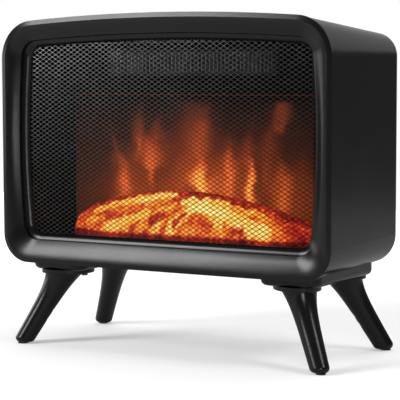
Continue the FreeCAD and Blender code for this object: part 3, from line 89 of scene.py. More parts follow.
class Board:
    """A node tree that is filled by short calls."""

    def __init__(self, tree: bpy.types.NodeTree) -> None:
        """Keeps the tree that the calls add to."""
        self.tree = tree

    def add(self, kind: str, **settings: object) -> bpy.types.Node:
        """Adds a node.

        Args:
            kind: the node's type name.
            settings: attributes to set on it.

        Returns:
            The new node.
        """
        node = self.tree.nodes.new(kind)
        for name, value in settings.items():
            setattr(node, name, value)
        return node

    def feed(self, socket: Socket, value: Value | Colour) -> None:
        """Links a socket to an output, or sets it to a plain value.

        Args:
            socket: the input socket.
            value: an output socket, a number or a colour.
        """
        if isinstance(value, Socket):
            self.tree.links.new(value, socket)
        else:
            socket.default_value = value

    def shade(self, values: dict[str, Value | Colour]) -> None:
        """Feeds the surface shader.

        Args:
            values: an output socket, a number or a colour for each of the shader's inputs, by name.
        """
        shader = self.tree.nodes["Principled BSDF"]
        for name, value in values.items():
            self.feed(shader.inputs[name], value)

    def place(self) -> Socket:
        """Adds the piece's own coordinates."""
        return self.add("ShaderNodeTexCoord").outputs["Object"]

    def parts(self, vector: Socket) -> tuple[Socket, ...]:
        """Splits a vector.

        Args:
            vector: the vector's socket.

        Returns:
            The sockets of its x, y and z.
        """
        node = self.add("ShaderNodeSeparateXYZ")
        self.feed(node.inputs[0], vector)
        return tuple(node.outputs)

    def math(self, operation: str, *values: Value, clamp: bool = False) -> Socket:
        """Adds one sum of a Math node.

        Args:
            operation: the Math node's operation.
            values: sockets or numbers, in order.
            clamp: whether the result is kept between 0 and 1.

        Returns:
            The result's socket.
        """
        node = self.add("ShaderNodeMath", operation=operation, use_clamp=clamp)
        for socket, value in zip(node.inputs, values):
            self.feed(socket, value)
        return node.outputs[0]

    def plus(self, first: Value, second: Value) -> Socket:
        """Adds two values."""
        return self.math("ADD", first, second)

    def minus(self, first: Value, second: Value) -> Socket:
        """Takes the second value from the first."""
        return self.math("SUBTRACT", first, second)

    def times(self, first: Value, second: Value) -> Socket:
        """Multiplies two values."""
        return self.math("MULTIPLY", first, second)

    def over(self, first: Value, second: Value) -> Socket:
        """Divides the first value by the second."""
        return self.math("DIVIDE", first, second)

    def larger(self, first: Value, second: Value) -> Socket:
        """Picks the larger of two values."""
        return self.math("MAXIMUM", first, second)

    def noise(self, vector: Socket, scale: Value, detail: float = 3.0, rough: float = 0.5) -> Socket:
        """Adds a noise texture.

        Args:
            vector: the coordinate socket.
            scale: features per metre.
            detail: octaves.
            rough: weight of the finer octaves.

        Returns:
            The value's socket.
        """
        node = self.add("ShaderNodeTexNoise")
        self.feed(node.inputs["Vector"], vector)
        self.feed(node.inputs["Scale"], scale)
        self.feed(node.inputs["Detail"], detail)
        self.feed(node.inputs["Roughness"], rough)
        return node.outputs[0]

    def spread(self, value: Value, low: Value, high: Value, span: Span = WHOLE) -> Socket:
        """Maps a value from one range to another, and holds it at the ends.

        Args:
            value: the socket to map.
            low: the result where the span starts.
            high: the result where it ends.
            span: the range of the value.

        Returns:
            The result's socket.
        """
        node = self.add("ShaderNodeMapRange")
        for socket, item in zip(node.inputs, (value, *span, low, high)):
            self.feed(socket, item)
        return node.outputs[0]

    def ramp(self, value: Value, stops: Stops) -> Socket:
        """Adds a colour ramp.

        Args:
            value: the socket that picks the colour.
            stops: places and colours, in order.

        Returns:
            The colour's socket.
        """
        node = self.add("ShaderNodeValToRGB")
        elements = node.color_ramp.elements
        elements.remove(elements[1])
        elements[0].position, elements[0].color = stops[0]
        for place, colour in stops[1:]:
            elements.new(place).color = colour
        self.feed(node.inputs[0], value)
        return node.outputs[0]

    def mix(self, share: Value, first: Socket | Colour, second: Socket | Colour) -> Socket:
        """Mixes two colours.

        Args:
            share: how much of the second.
            first: the first colour or its socket.
            second: the second colour or its socket.

        Returns:
            The colour's socket.
        """
        node = self.add("ShaderNodeMix", data_type="RGBA")
        self.feed(node.inputs[0], share)
        self.feed(node.inputs[6], first)
        self.feed(node.inputs[7], second)
        return node.outputs[2]


def new_material(name: str) -> tuple[bpy.types.Material, Board]:
    """Starts a material.

    Args:
        name: the material's name.

    Returns:
        The material and the board of its nodes.
    """
    made = bpy.data.materials.new(name)
    made.use_nodes = True
    return made, Board(made.node_tree)


def new_group(
        name: str, inputs: dict[str, Kind], outputs: dict[str, Kind],
) -> tuple[Board, dict[str, Socket], dict[str, Socket]]:
    """Starts a shader node group.

    Args:
        name: the group's name.
        inputs: the kind of each input, by name.
        outputs: the kind of each output, by name.

    Returns:
        The group's board, its input sockets and its output sockets by name.
    """
    tree = bpy.data.node_groups.new(name, "ShaderNodeTree")
    for title, kind in inputs.items():
        tree.interface.new_socket(title, in_out="INPUT", socket_type=kind.value)
    for title, kind in outputs.items():
        tree.interface.new_socket(title, in_out="OUTPUT", socket_type=kind.value)
    board = Board(tree)
    start = board.add("NodeGroupInput")
    end = board.add("NodeGroupOutput")
    take = {title: start.outputs[title] for title in inputs}
    give = {title: end.inputs[title] for title in outputs}
    return board, take, give


class Effects:
    """Node groups that are placed again and again.

    A tongue's height runs from 0 at its base to 1 at its tip, and the values below are shares of it
    or of the tongue's width.
    """

    TAPER_FROM = 1.15
    TAPER_LEAST = 0.12
    TAPER_POWER = 0.7
    HUMP_LEAST = 0.3
    TIP: Span = (0.55, 1.05)
    FOOT: Span = (-0.25, 0.1)

    def __init__(self) -> None:
        """Builds each group once."""
        self.grain = self._grain()
        self.tongue = self._tongue()

    def _grain(self) -> bpy.types.NodeTree:
        """Builds the moulded grain: a fine pebble and broad smudges.

        Returns:
            The group.
        """
        board, take, give = new_group(
            "moulded_grain",
            {"Vector": Kind.VECTOR, "Pebble Scale": Kind.NUMBER, "Smudge Scale": Kind.NUMBER},
            {"Pebble": Kind.NUMBER, "Smudge": Kind.NUMBER})
        pebble = board.noise(take["Vector"], take["Pebble Scale"], detail=2.0, rough=0.55)
        smudge = board.noise(take["Vector"], take["Smudge Scale"], detail=4.0, rough=0.6)
        board.feed(give["Pebble"], pebble)
        board.feed(give["Smudge"], smudge)
        return board.tree

    def _tongue(self) -> bpy.types.NodeTree:
        """Builds one flame tongue, soft at its sides and fading to its tip.

        Its outline tapers from the base, or bulges in the middle as the belly goes to 1.

        Returns:
            The group.
        """
        names = ("Across", "Up", "Centre", "Base", "Height", "Width", "Lean", "Belly", "Level")
        board, take, give = new_group(
            "flame_tongue", dict.fromkeys(names, Kind.NUMBER), {"Glow": Kind.NUMBER})
        climb = board.over(board.minus(take["Up"], take["Base"]), take["Height"])
        bend = board.times(take["Lean"], board.times(climb, climb))
        aside = board.minus(take["Across"], board.plus(take["Centre"], bend))
        taper = board.larger(board.minus(self.TAPER_FROM, climb), self.TAPER_LEAST)
        hump = board.times(board.times(climb, 4.0), board.minus(1.0, climb))
        hump = board.larger(hump, self.HUMP_LEAST)
        full = board.spread(take["Belly"], board.math("POWER", taper, self.TAPER_POWER), hump)
        offset = board.over(aside, board.times(take["Width"], full))
        side = board.math("EXPONENT", board.times(board.times(offset, offset), -1.0))
        tip = board.spread(climb, 1.0, 0.0, self.TIP)
        foot = board.spread(climb, 0.0, 1.0, self.FOOT)
        glow = board.times(side, board.times(tip, foot))
        board.feed(give["Glow"], board.times(glow, take["Level"]))
        return board.tree


@dataclass(frozen=True)
class Moulded:
    """Moulded or painted finish with a fine grain.

    The grain breaks up the gloss, and smudges shift the tone a little.
    """

    name: str
    dark: Colour
    light: Colour
    rough: float
    rough_spread: float = 0.06
    metal: float = 0.0
    gloss: float = 0.5
    pebble: float = 2600.0
    smudge: float = 16.0
    depth: float = 0.05
    relief: float = 0.2 * MM

    def material(self, effects: Effects) -> bpy.types.Material:
        """Builds the material.

        Args:
            effects: the shared node groups.

        Returns:
            The material.
        """
        made, board = new_material(self.name)
        grain = board.add("ShaderNodeGroup", node_tree=effects.grain)
        board.feed(grain.inputs["Vector"], board.place())
        board.feed(grain.inputs["Pebble Scale"], self.pebble)
        board.feed(grain.inputs["Smudge Scale"], self.smudge)
        bump = board.add("ShaderNodeBump")
        board.feed(bump.inputs["Strength"], self.depth)
        board.feed(bump.inputs["Distance"], self.relief)
        board.feed(bump.inputs["Height"], grain.outputs["Pebble"])
        smudge = grain.outputs["Smudge"]
        low, high = self.rough - self.rough_spread, self.rough + self.rough_spread
        board.shade({
            "Base Color": board.mix(smudge, self.dark, self.light),
            "Roughness": board.spread(smudge, low, high, NOISE_CORE),
            "Metallic": self.metal,
            "Specular IOR Level": self.gloss,
            "Normal": bump.outputs[0],
        })
        return made


@dataclass(frozen=True)
class Tongue:
    """One flame tongue on the screen, with its sizes in millimetres.

    The fields come in the order of the group's inputs. Belly and level go from 0 to 1.
    """

    centre: float
    base: float
    height: float
    width: float
    lean: float
    belly: float
    level: float


@dataclass(frozen=True)
class FlameFilm:
    """The flame screen, with the light of the flame lamps behind it painted on as glow: soft tongues on a dark
    red ground, with sizes in millimetres.
    """

    name: str = "flame_film"
    strength: float = 1.3
    rough: float = 0.6
    gloss: float = 0.03
    unlit: Colour = (0.002, 0.001, 0.001, 1.0)
    swirl_scale: float = 22.0
    swirl_aside: float = 4.0
    lick_scale: float = 60.0
    lick_aside: float = 3.5
    lick_up: float = 9.0
    ground: Span = (0.37, 0.03)
    ground_rise: Span = (140.0, 222.0)
    ground_half: float = 150.0
    ground_fade: float = 0.6
    # painted shadow of the panel's lower edge, and a thin painted light leak just under the edge
    shade_below: Span = (9.5, 4.5)
    leak_glow_below: Span = (1.8, 1.4)
    leak_glow_level: float = 0.16
    stops: Stops = (
        (0.0, (0.002, 0.001, 0.001, 1.0)),
        (0.15, (0.035, 0.008, 0.003, 1.0)),
        (0.35, (0.15, 0.024, 0.005, 1.0)),
        (0.55, (0.36, 0.056, 0.009, 1.0)),
        (0.75, (0.75, 0.14, 0.024, 1.0)),
        (0.9, (1.0, 0.36, 0.05, 1.0)),
        (1.0, (1.0, 0.62, 0.14, 1.0)),
    )
    tongues: tuple[Tongue, ...] = (
        Tongue(-88.0, 138.0, 64.0, 9.0, -20.0, 0.3, 0.24),
        Tongue(-97.0, 134.0, 28.0, 10.0, 2.0, 0.2, 0.24),
        Tongue(-72.0, 180.0, 54.0, 8.0, 2.0, 1.0, 0.24),
        Tongue(-60.0, 154.0, 56.0, 14.0, 9.0, 1.0, 0.34),
        Tongue(-14.0, 136.0, 124.0, 27.0, 8.0, 0.1, 0.26),
        Tongue(-5.0, 168.0, 62.0, 10.0, 7.0, 0.7, 0.13),
        Tongue(-4.0, 140.0, 30.0, 15.0, 1.0, 0.7, 0.36),
        Tongue(24.0, 136.0, 66.0, 12.0, -1.0, 0.3, 0.15),
        Tongue(24.0, 146.0, 54.0, 4.5, 1.0, 0.4, 0.15),
        Tongue(49.0, 126.0, 54.0, 6.0, 0.0, 0.2, 0.46),
        Tongue(45.0, 158.0, 58.0, 9.0, 6.0, 0.6, 0.2),
        Tongue(79.0, 124.0, 58.0, 11.0, -2.0, 0.2, 0.31),
        Tongue(65.0, 160.0, 72.0, 8.0, 13.0, 0.5, 0.16),
        Tongue(79.0, 202.0, 36.0, 11.0, 2.0, 1.0, 0.28),
        Tongue(100.0, 122.0, 66.0, 16.0, 0.0, 0.2, 0.1),
        Tongue(-74.0, 136.0, 66.0, 28.0, 4.0, 0.3, 0.14),
        Tongue(28.0, 136.0, 62.0, 26.0, 0.0, 0.2, 0.12),
    )

    def material(self, effects: Effects, top: float) -> bpy.types.Material:
        """Builds the material.

        Args:
            effects: the shared node groups.
            top: height of the panel's lower edge, under which the screen takes a band of painted shade and a
                thin painted light leak, in millimetres.

        Returns:
            The material.
        """
        made, board = new_material(self.name)
        place = board.place()
        x, _, z = board.parts(place)
        across, rise = board.times(x, 1.0 / MM), board.times(z, 1.0 / MM)
        swirl = board.noise(place, self.swirl_scale, detail=2.0)
        lick = board.noise(place, self.lick_scale, detail=2.0)
        across = board.plus(across, board.spread(swirl, -self.swirl_aside, self.swirl_aside, NOISE_MOST))
        across = board.plus(across, board.spread(lick, -self.lick_aside, self.lick_aside, NOISE_MOST))
        up = board.plus(rise, board.spread(lick, -self.lick_up, self.lick_up, NOISE_MOST))
        ends = board.math("POWER", board.math("ABSOLUTE", board.over(across, self.ground_half)), 2.0)
        glow = board.spread(rise, *self.ground, self.ground_rise)
        glow = board.times(glow, board.minus(1.0, board.times(ends, self.ground_fade)))
        for tongue in self.tongues:
            node = board.add("ShaderNodeGroup", node_tree=effects.tongue)
            for socket, value in zip(node.inputs, (across, up, *astuple(tongue))):
                board.feed(socket, value)
            glow = board.plus(glow, node.outputs["Glow"])
        # painted shadow below the panel's edge, and a thin painted light leak right under it
        shade = board.spread(rise, 1.0, 0.0, tuple(top - below for below in self.shade_below))
        line = board.spread(rise, 0.0, self.leak_glow_level, tuple(top - below for below in self.leak_glow_below))
        glow = board.math("ADD", board.times(glow, shade), line, clamp=True)
        board.shade({
            "Base Color": self.unlit,
            "Roughness": self.rough,
            "Specular IOR Level": self.gloss,
            "Emission Color": board.ramp(glow, self.stops),
            "Emission Strength": self.strength,
        })
        return made


@dataclass(frozen=True)
class EmberGlow:
    """Amber resin with the light of the lamps below painted on as glow: pale yellow faces, red seams, dark
    crusts.
    """

    name: str = "ember_glow"
    attribute: str = "ember_glow_level"
    strength: float = 1.15
    rough: float = 0.5
    gloss: float = 0.08
    crust: Colour = (0.004, 0.002, 0.002, 1.0)
    resin: Colour = (0.06, 0.02, 0.006, 1.0)
    fleck_scale: float = 260.0
    fleck: float = 0.16
    patch_scale: float = 42.0
    patch: float = 0.08
    stops: Stops = (
        (0.0, (0.012, 0.001, 0.001, 1.0)),
        (0.15, (0.14, 0.006, 0.004, 1.0)),
        (0.32, (0.48, 0.022, 0.01, 1.0)),
        (0.48, (0.8, 0.1, 0.012, 1.0)),
        (0.64, (0.98, 0.27, 0.02, 1.0)),
        (0.8, (1.0, 0.52, 0.06, 1.0)),
        (1.0, (1.0, 0.85, 0.3, 1.0)),
    )

    def material(self) -> bpy.types.Material:
        """Builds the material, whose painted glow follows the bed's own glow level.

        Returns:
            The material.
        """
        made, board = new_material(self.name)
        place = board.place()
        glow_level = board.add("ShaderNodeAttribute", attribute_name=self.attribute).outputs["Fac"]
        flecks = board.noise(place, self.fleck_scale, rough=0.6)
        patches = board.noise(place, self.patch_scale, detail=2.0)
        level = board.plus(glow_level, board.spread(flecks, -self.fleck, self.fleck, NOISE_MOST))
        level = board.math("ADD", level, board.spread(patches, -self.patch, self.patch, NOISE_CORE), clamp=True)
        board.shade({
            "Base Color": board.mix(level, self.crust, self.resin),
            "Roughness": self.rough,
            "Specular IOR Level": self.gloss,
            "Emission Color": board.ramp(level, self.stops),
            "Emission Strength": self.strength,
        })
        return made


@dataclass(frozen=True)
class MeshMetal:
    """Dark steel of the mesh, with a highlight painted into its colour: it is brighter towards its upper left.

    The painted highlight falls off from the corner by the rates across and upward, which are per metre.
    """

    name: str = "mesh_metal"
    tone: float = 0.43
    across: float = -4.4
    upward: float = 8.5
    corner: Span = (-135.0 * MM, 250.0 * MM)
    brightest: float = 0.3
    mottle_scale: float = 60.0
    mottle: Span = (0.85, 1.15)
    rough: float = 0.3

    def material(self) -> bpy.types.Material:
        """Builds the material.

        Returns:
            The material.
        """
        made, board = new_material(self.name)
        place = board.place()
        x, _, z = board.parts(place)
        corner_x, corner_z = self.corner
        aside = board.times(board.minus(x, corner_x), self.across)
        above = board.times(board.minus(z, corner_z), self.upward)
        # painted highlight: the steel's colour grows brighter towards the upper left corner, up to a cap
        painted_highlight = board.math("EXPONENT", board.math("MINIMUM", board.plus(aside, above), self.brightest))
        mottle = board.spread(board.noise(place, self.mottle_scale), *self.mottle, NOISE_CORE)
        painted_highlight = board.times(board.times(painted_highlight, mottle), self.tone)
        tint = board.add("ShaderNodeCombineColor")
        for socket in tint.inputs:
            board.feed(socket, painted_highlight)
        board.shade({"Base Color": tint.outputs[0], "Metallic": 1.0, "Roughness": self.rough})
        return made


@dataclass(frozen=True)
class GrillePaint:
    """Black paint on the outlet's frame, darkened further as painted shade, with paler fins inside it."""

    name: str = "grille_paint"
    # near-black and matte: black paint, darkened further as painted shade
    rim: Colour = grey(0.001)
    fins: Colour = (0.03, 0.03, 0.031, 1.0)
    half_width: float = 85.0 * MM
    half_height: float = 9.3 * MM
    height: float = 264.0 * MM
    rim_rough: float = 0.95
    fin_rough: Span = (0.36, 0.5)
    wear_scale: float = 90.0
    gloss: float = 0.4

    def material(self) -> bpy.types.Material:
        """Builds the material.

        Returns:
            The material.
        """
        made, board = new_material(self.name)
        place = board.place()
        x, _, z = board.parts(place)
        inside = board.times(
            board.math("COMPARE", x, 0.0, self.half_width),
            board.math("COMPARE", z, self.height, self.half_height))
        worn = board.spread(board.noise(place, self.wear_scale), *self.fin_rough, NOISE_CORE)
        board.shade({
            "Base Color": board.mix(inside, self.rim, self.fins),
            "Roughness": board.spread(inside, self.rim_rough, worn),
            "Specular IOR Level": self.gloss,
        })
        return made


@dataclass(frozen=True)
class FloorPaint:
    """White sweep that takes the soft shadow and reads as white where it is lit.

    It glows for the camera, more so far from the object, and is dimmer in reflections.
    """

    name: str = "floor_paint"
    white: Colour = grey(0.8)
    black: Colour = grey(0.0)
    lift: Span = (0.32, 1.0)
    reach: Span = (0.5, 1.1)
    mirror: float = 0.05
    dim: float = 0.25

    def material(self) -> bpy.types.Material:
        """Builds the material.

        Returns:
            The material.
        """
        made, board = new_material(self.name)
        board.tree.nodes.remove(board.tree.nodes["Principled BSDF"])
        reach = board.add("ShaderNodeVectorMath", operation="LENGTH")
        board.feed(reach.inputs[0], board.place())
        lift = board.spread(reach.outputs["Value"], *self.lift, self.reach)
        path = board.add("ShaderNodeLightPath").outputs
        seen = board.larger(path["Is Camera Ray"], path["Is Transmission Ray"])
        seen = board.larger(seen, board.times(path["Is Glossy Ray"], self.mirror))
        dim = board.times(path["Is Glossy Ray"], self.dim)
        matt = board.add("ShaderNodeBsdfDiffuse")
        board.feed(matt.inputs["Color"], board.mix(dim, self.white, self.black))
        glow = board.add("ShaderNodeEmission")
        board.feed(glow.inputs["Strength"], board.times(seen, lift))
        both = board.add("ShaderNodeAddShader")
        board.feed(both.inputs[0], matt.outputs[0])
        board.feed(both.inputs[1], glow.outputs[0])
        board.feed(board.tree.nodes["Material Output"].inputs["Surface"], both.outputs[0])
        return made


def show(
        bm: bmesh.types.BMesh, name: str, material: bpy.types.Material, smooth: bool = False,
) -> bpy.types.Object:
    """Makes an object at the origin from a finished bmesh.

    Args:
        bm: the mesh, which is freed.
        name: the object's name.
        material: its material.
        smooth: whether faces are shaded smooth.

    Returns:
        The object.
    """
    mesh = bpy.data.meshes.new(name)
    bm.to_mesh(mesh)
    bm.free()
    mesh.polygons.foreach_set("use_smooth", [smooth] * len(mesh.polygons))
    made = bpy.data.objects.new(name, mesh)
    mesh.materials.append(material)
    bpy.context.scene.collection.objects.link(made)
    log.info("%s: %d faces", name, len(mesh.polygons))
    return made


def stand_in(piece: bpy.types.Object, node: str) -> None:
    """Puts a new piece on the cabinet, in the place of a solid.

    Args:
        piece: the new piece.
        node: the solid's name.
    """
    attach(piece, CABINET)
    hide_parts(node)


def dress(node: str, material: bpy.types.Material) -> None:
    """Gives a carried-over piece its material.

    Args:
        node: the piece's name.
        material: the material for all its faces.
    """
    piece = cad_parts[node]
    piece.data.materials.clear()
    piece.data.materials.append(material)
    log.info("%s dressed", node)


def dress_all(plans: dict[Moulded, tuple[str, ...]], effects: Effects) -> None:
    """Gives each finish to its carried-over pieces.

    Args:
        plans: the names of the pieces for each finish.
        effects: the shared node groups.
    """
    for finish, nodes in plans.items():
        material = finish.material(effects)
        for node in nodes:
            dress(node, material)


@dataclass
class Cabinet:
    """The black outer pieces: bezel, bead ring, case, rails, legs and rear cover."""

    effects: Effects
    satin: Moulded = Moulded(
        "satin_black", (0.0036, 0.0037, 0.004, 1.0), (0.005, 0.0051, 0.0055, 1.0),
        rough=0.24, rough_spread=0.025, gloss=0.28)
    rubber: Moulded = Moulded("foot_rubber", grey(0.01), grey(0.018), rough=0.75, pebble=1800.0, depth=0.2)
    gloss: Moulded = Moulded(
        "switch_gloss", grey(0.008), grey(0.012), rough=0.18, rough_spread=0.04, depth=0.02)

    def build(self) -> None:
        """Dresses the outer pieces."""
        plans = {
            self.satin: (
                "front_bezel", "mesh_frame", "case_shell", "rear_cover", "foot_rail_left", "foot_rail_right",
                "leg_front_left", "leg_front_right", "leg_rear_left", "leg_rear_right"),
            self.rubber: ("foot_pads", "cord_gland"),
            self.gloss: ("flame_switch_housing", "heat_switch_housing", "flame_rocker", "heat_rocker"),
        }
        dress_all(plans, self.effects)


@dataclass
class FrontMesh:
    """Expanded-metal sheet with fine diamonds between flat strands.

    The rooms are kept free between the sheet's edges and the box of the solid that it replaces.
    """

    effects: Effects
    pitch_x: float = 7.0 * MM
    pitch_z: float = 4.15 * MM
    land: float = 0.18 * MM
    slope: float = 0.24 * MM
    thickness: float = 0.4 * MM
    side_room: float = 12.7 * MM
    low_room: float = 18.0 * MM
    top_room: float = 14.9 * MM
    spare: int = 4
    weld: float = 0.01 * MM
    metal: MeshMetal = MeshMetal()
    # near-black matte copy of the steel for the strands' sloped sides: painted shade
    side: Moulded = Moulded("mesh_side_painted_shade", grey(0.001), grey(0.002), rough=0.6, gloss=0.05)

    def build(self) -> bpy.types.Object:
        """Builds the sheet.

        Returns:
            The sheet, riding on the cabinet.
        """
        low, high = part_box("front_mesh")
        left, right = low.x + self.side_room, high.x - self.side_room
        bottom, top = low.z + self.low_room, high.z - self.top_room
        middle = Vector(((left + right) / 2, (low.y + high.y) / 2, (bottom + top) / 2))
        count = math.ceil((right - left) / self.pitch_x + (top - bottom) / self.pitch_z) + self.spare
        bm = bmesh.new()
        self._lattice(bm, middle - Vector((0.0, self.thickness, 0.0)), count)
        self._cut(bm, Vector((left, 0, 0)), Vector((-1, 0, 0)))
        self._cut(bm, Vector((right, 0, 0)), Vector((1, 0, 0)))
        self._cut(bm, Vector((0, 0, bottom)), Vector((0, 0, -1)))
        self._cut(bm, Vector((0, 0, top)), Vector((0, 0, 1)))
        self._strands(bm)
        self._back(bm, middle.y)
        made = show(bm, "fine_mesh", self.metal.material())
        made.data.materials.append(self.side.material(self.effects))
        stand_in(made, "front_mesh")
        return made

    def _lattice(self, bm: bmesh.types.BMesh, middle: Vector, count: int) -> None:
        """Lays an upright lattice of diamonds.

        Args:
            bm: the mesh to fill.
            middle: where the lattice's middle lies.
            count: diamonds along each side.
        """
        bmesh.ops.create_grid(bm, x_segments=count, y_segments=count, size=count / 2)
        turn = Matrix.Rotation(math.radians(45.0), 4, "Z")
        lie = Matrix((
            (self.pitch_x / math.sqrt(2.0), 0, 0, 0),
            (0, 0, 1, 0),
            (0, self.pitch_z / math.sqrt(2.0), 0, 0),
            (0, 0, 0, 1)))
        bmesh.ops.transform(bm, matrix=Matrix.Translation(middle) @ lie @ turn, verts=bm.verts)

    @staticmethod
    def _cut(bm: bmesh.types.BMesh, point: Vector, outward: Vector) -> None:
        """Trims the lattice along one edge of the sheet.

        Args:
            bm: the lattice.
            point: a point on the edge.
            outward: the direction in which the rest is cut off.
        """
        everything = bm.verts[:] + bm.edges[:] + bm.faces[:]
        bmesh.ops.bisect_plane(bm, geom=everything, plane_co=point, plane_no=outward, clear_outer=True)

    def _strands(self, bm: bmesh.types.BMesh) -> None:
        """Opens each diamond and gives the strands between them sloped sides, which take the painted shade.

        Args:
            bm: the trimmed lattice.
        """
        bm.normal_update()
        bmesh.ops.reverse_faces(bm, faces=[face for face in bm.faces if face.normal.y > 0])
        diamonds = bm.faces[:]
        bmesh.ops.inset_individual(bm, faces=diamonds, thickness=self.land / 2, use_even_offset=True)
        sides = bmesh.ops.inset_individual(
            bm, faces=diamonds, thickness=self.slope, depth=-self.thickness, use_even_offset=True)["faces"]
        # the sloped sides take the second material, which is painted shade
        for face in sides:
            face.material_index = 1
        bmesh.ops.delete(bm, geom=diamonds, context="FACES_ONLY")

    def _back(self, bm: bmesh.types.BMesh, middle_y: float) -> None:
        """Mirrors the front of the strands to the back and closes the sheet's rim.

        Args:
            bm: the front half of the strands.
            middle_y: the plane between the front and the back.
        """
        plane = Matrix.Translation((0.0, -middle_y, 0.0))
        everything = bm.verts[:] + bm.edges[:] + bm.faces[:]
        bmesh.ops.mirror(bm, geom=everything, matrix=plane, merge_dist=self.weld, axis="Y")
        bmesh.ops.remove_doubles(bm, verts=bm.verts, dist=self.weld)
        bmesh.ops.bridge_loops(bm, edges=[edge for edge in bm.edges if edge.is_boundary])
        bmesh.ops.recalc_face_normals(bm, faces=bm.faces)


@dataclass(frozen=True)
class Coal:
    """One stick of the bed, or one hollow between sticks.

    Each end has its x in millimetres and a share of the bed's depth. The radius is in millimetres.
    """

    start: Span
    end: Span
    radius: float
    glow_level: float


@dataclass(frozen=True)
class Ripple:
    """A noise that makes the sticks' outlines ragged.

    The swing is in millimetres, and the waves are counted per metre along the bed and over its depth.
    """

    swing: float
    along: float
    deep: float
    seed: float


@dataclass
class EmberBed:
    """Moulded bed of glowing sticks on the liner's floor, with a dark front lip.

    The surface climbs from the lip to a crest near the back. Depths are shares, from 0 at the front
    to 1 at the back. The glow level is painted light of the lamps below: it goes from 0, a dark crust,
    to 1, pale yellow, is painted lower as shade in the seams between crumbs, and is lower towards the
    right end and at the front edge.
    """

    steps_x: int = 320
    steps_y: int = 72
    climb: float = 52.0 * MM
    lip: float = 10.0 * MM
    margin: float = 0.6 * MM
    peak_x: float = -27.0 * MM
    left_drop: float = 24.0 * MM
    left_power: float = 1.9
    right_drop: float = 34.0 * MM
    right_power: float = 2.2
    left_from: float = -86.0 * MM
    left_back: float = 0.62
    right_from: float = 104.0 * MM
    right_back: float = 0.7
    crown: float = 0.84
    crown_power: float = 0.75
    back_fall: float = 0.25
    lump: float = 3.0 * MM
    lump_share: float = 0.8
    lump_end_rate: float = 70.0
    lump_front_rate: float = 10.0
    crumb_size: float = 5.5 * MM
    crumb_edge: float = 1.8
    crumb_seam_shade: float = 0.16
    ash: float = 0.56
    ash_back_dim: float = 0.32
    ash_depth: Span = (0.42, 0.67)
    coal_least: float = 0.2
    coal_edge: float = 1.2
    hollow_sink: float = 0.7
    hollow_edge: float = 1.4
    right_end_dim: float = 0.45
    right_end_dim_x: Span = (85.0 * MM, 125.0 * MM)
    lip_glow_level: float = 0.4
    lip_rate: float = 60.0
    ripples: tuple[Ripple, ...] = (Ripple(2.2, 150.0, 8.0, 1.0), Ripple(1.4, 420.0, 22.0, 5.0))
    glow: EmberGlow = EmberGlow()
    coals: tuple[Coal, ...] = (
        Coal((-104.0, 0.32), (-20.0, 0.52), 6.0, 0.92),
        Coal((-112.0, 0.1), (-33.0, 0.38), 5.0, 0.74),
        Coal((-82.0, 0.03), (-38.0, 0.19), 5.0, 0.9),
        Coal((-45.0, 0.04), (-14.0, 0.33), 5.0, 0.78),
        Coal((-4.0, 0.43), (88.0, 0.08), 7.5, 0.98),
        Coal((-12.0, 0.05), (17.0, 0.42), 6.0, 0.95),
        Coal((4.0, 0.02), (46.0, 0.06), 4.5, 0.7),
        Coal((67.0, 0.42), (106.0, 0.05), 6.0, 0.72),
        Coal((14.0, 0.5), (64.0, 0.38), 5.0, 0.84),
        Coal((44.0, 0.15), (74.0, 0.02), 4.5, 0.56),
        Coal((-131.0, 0.2), (-112.0, 0.6), 5.0, 0.42),
        Coal((70.0, 0.66), (108.0, 0.7), 5.0, 0.3),
        Coal((100.0, 0.22), (112.0, 0.7), 5.0, 0.36),
        Coal((-94.0, 0.54), (-48.0, 0.62), 4.5, 0.38),
        Coal((-46.0, 0.63), (-10.0, 0.64), 4.0, 0.38),
        Coal((-4.0, 0.67), (44.0, 0.63), 4.5, 0.3),
        Coal((46.0, 0.62), (84.0, 0.6), 4.5, 0.4),
        Coal((-66.0, 0.12), (-58.0, 0.02), 4.0, 0.84),
        Coal((-30.0, 0.02), (-20.0, 0.1), 4.0, 0.86),
        Coal((22.0, 0.3), (40.0, 0.12), 4.5, 0.9),
    )
    hollows: tuple[Coal, ...] = (
        Coal((-34.0, 0.13), (-22.0, 0.15), 3.0, 0.42),
        Coal((-82.0, 0.15), (-68.0, 0.19), 3.0, 0.48),
        Coal((-16.0, 0.43), (-6.0, 0.5), 3.5, 0.44),
        Coal((19.0, 0.06), (30.0, 0.08), 3.0, 0.5),
        Coal((52.0, 0.06), (62.0, 0.05), 2.5, 0.5),
        Coal((-100.0, 0.2), (-84.0, 0.26), 2.5, 0.5),
        Coal((-60.0, 0.26), (-48.0, 0.31), 2.5, 0.5),
        Coal((-8.0, 0.1), (0.0, 0.2), 2.5, 0.48),
    )

    def build(self) -> bpy.types.Object:
        """Builds the bed.

        Returns:
            The bed, riding on the cabinet.
        """
        low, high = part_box("ember_bed")
        size = high - low
        middle = (low + high) / 2
        bm = bmesh.new()
        glow_layer = bm.verts.layers.float.new(self.glow.attribute)
        bmesh.ops.create_grid(bm, x_segments=self.steps_x, y_segments=self.steps_y, size=0.5)
        bmesh.ops.scale(bm, vec=(size.x, size.y, 1.0), verts=bm.verts)
        bmesh.ops.translate(bm, vec=(middle.x, middle.y, low.z), verts=bm.verts)
        for vert in bm.verts:
            vert[glow_layer] = self._mould(vert, low, high)
        rim = [edge for edge in bm.edges if edge.is_boundary]
        walls = bmesh.ops.extrude_edge_only(bm, edges=rim)["geom"]
        for vert in (item for item in walls if isinstance(item, bmesh.types.BMVert)):
            vert.co.z = low.z
            vert[glow_layer] = 0.0
        bmesh.ops.contextual_create(bm, geom=[edge for edge in bm.edges if edge.is_boundary])
        bmesh.ops.recalc_face_normals(bm, faces=bm.faces)
        made = show(bm, "ember_coals", self.glow.material(), smooth=True)
        stand_in(made, "ember_bed")
        return made

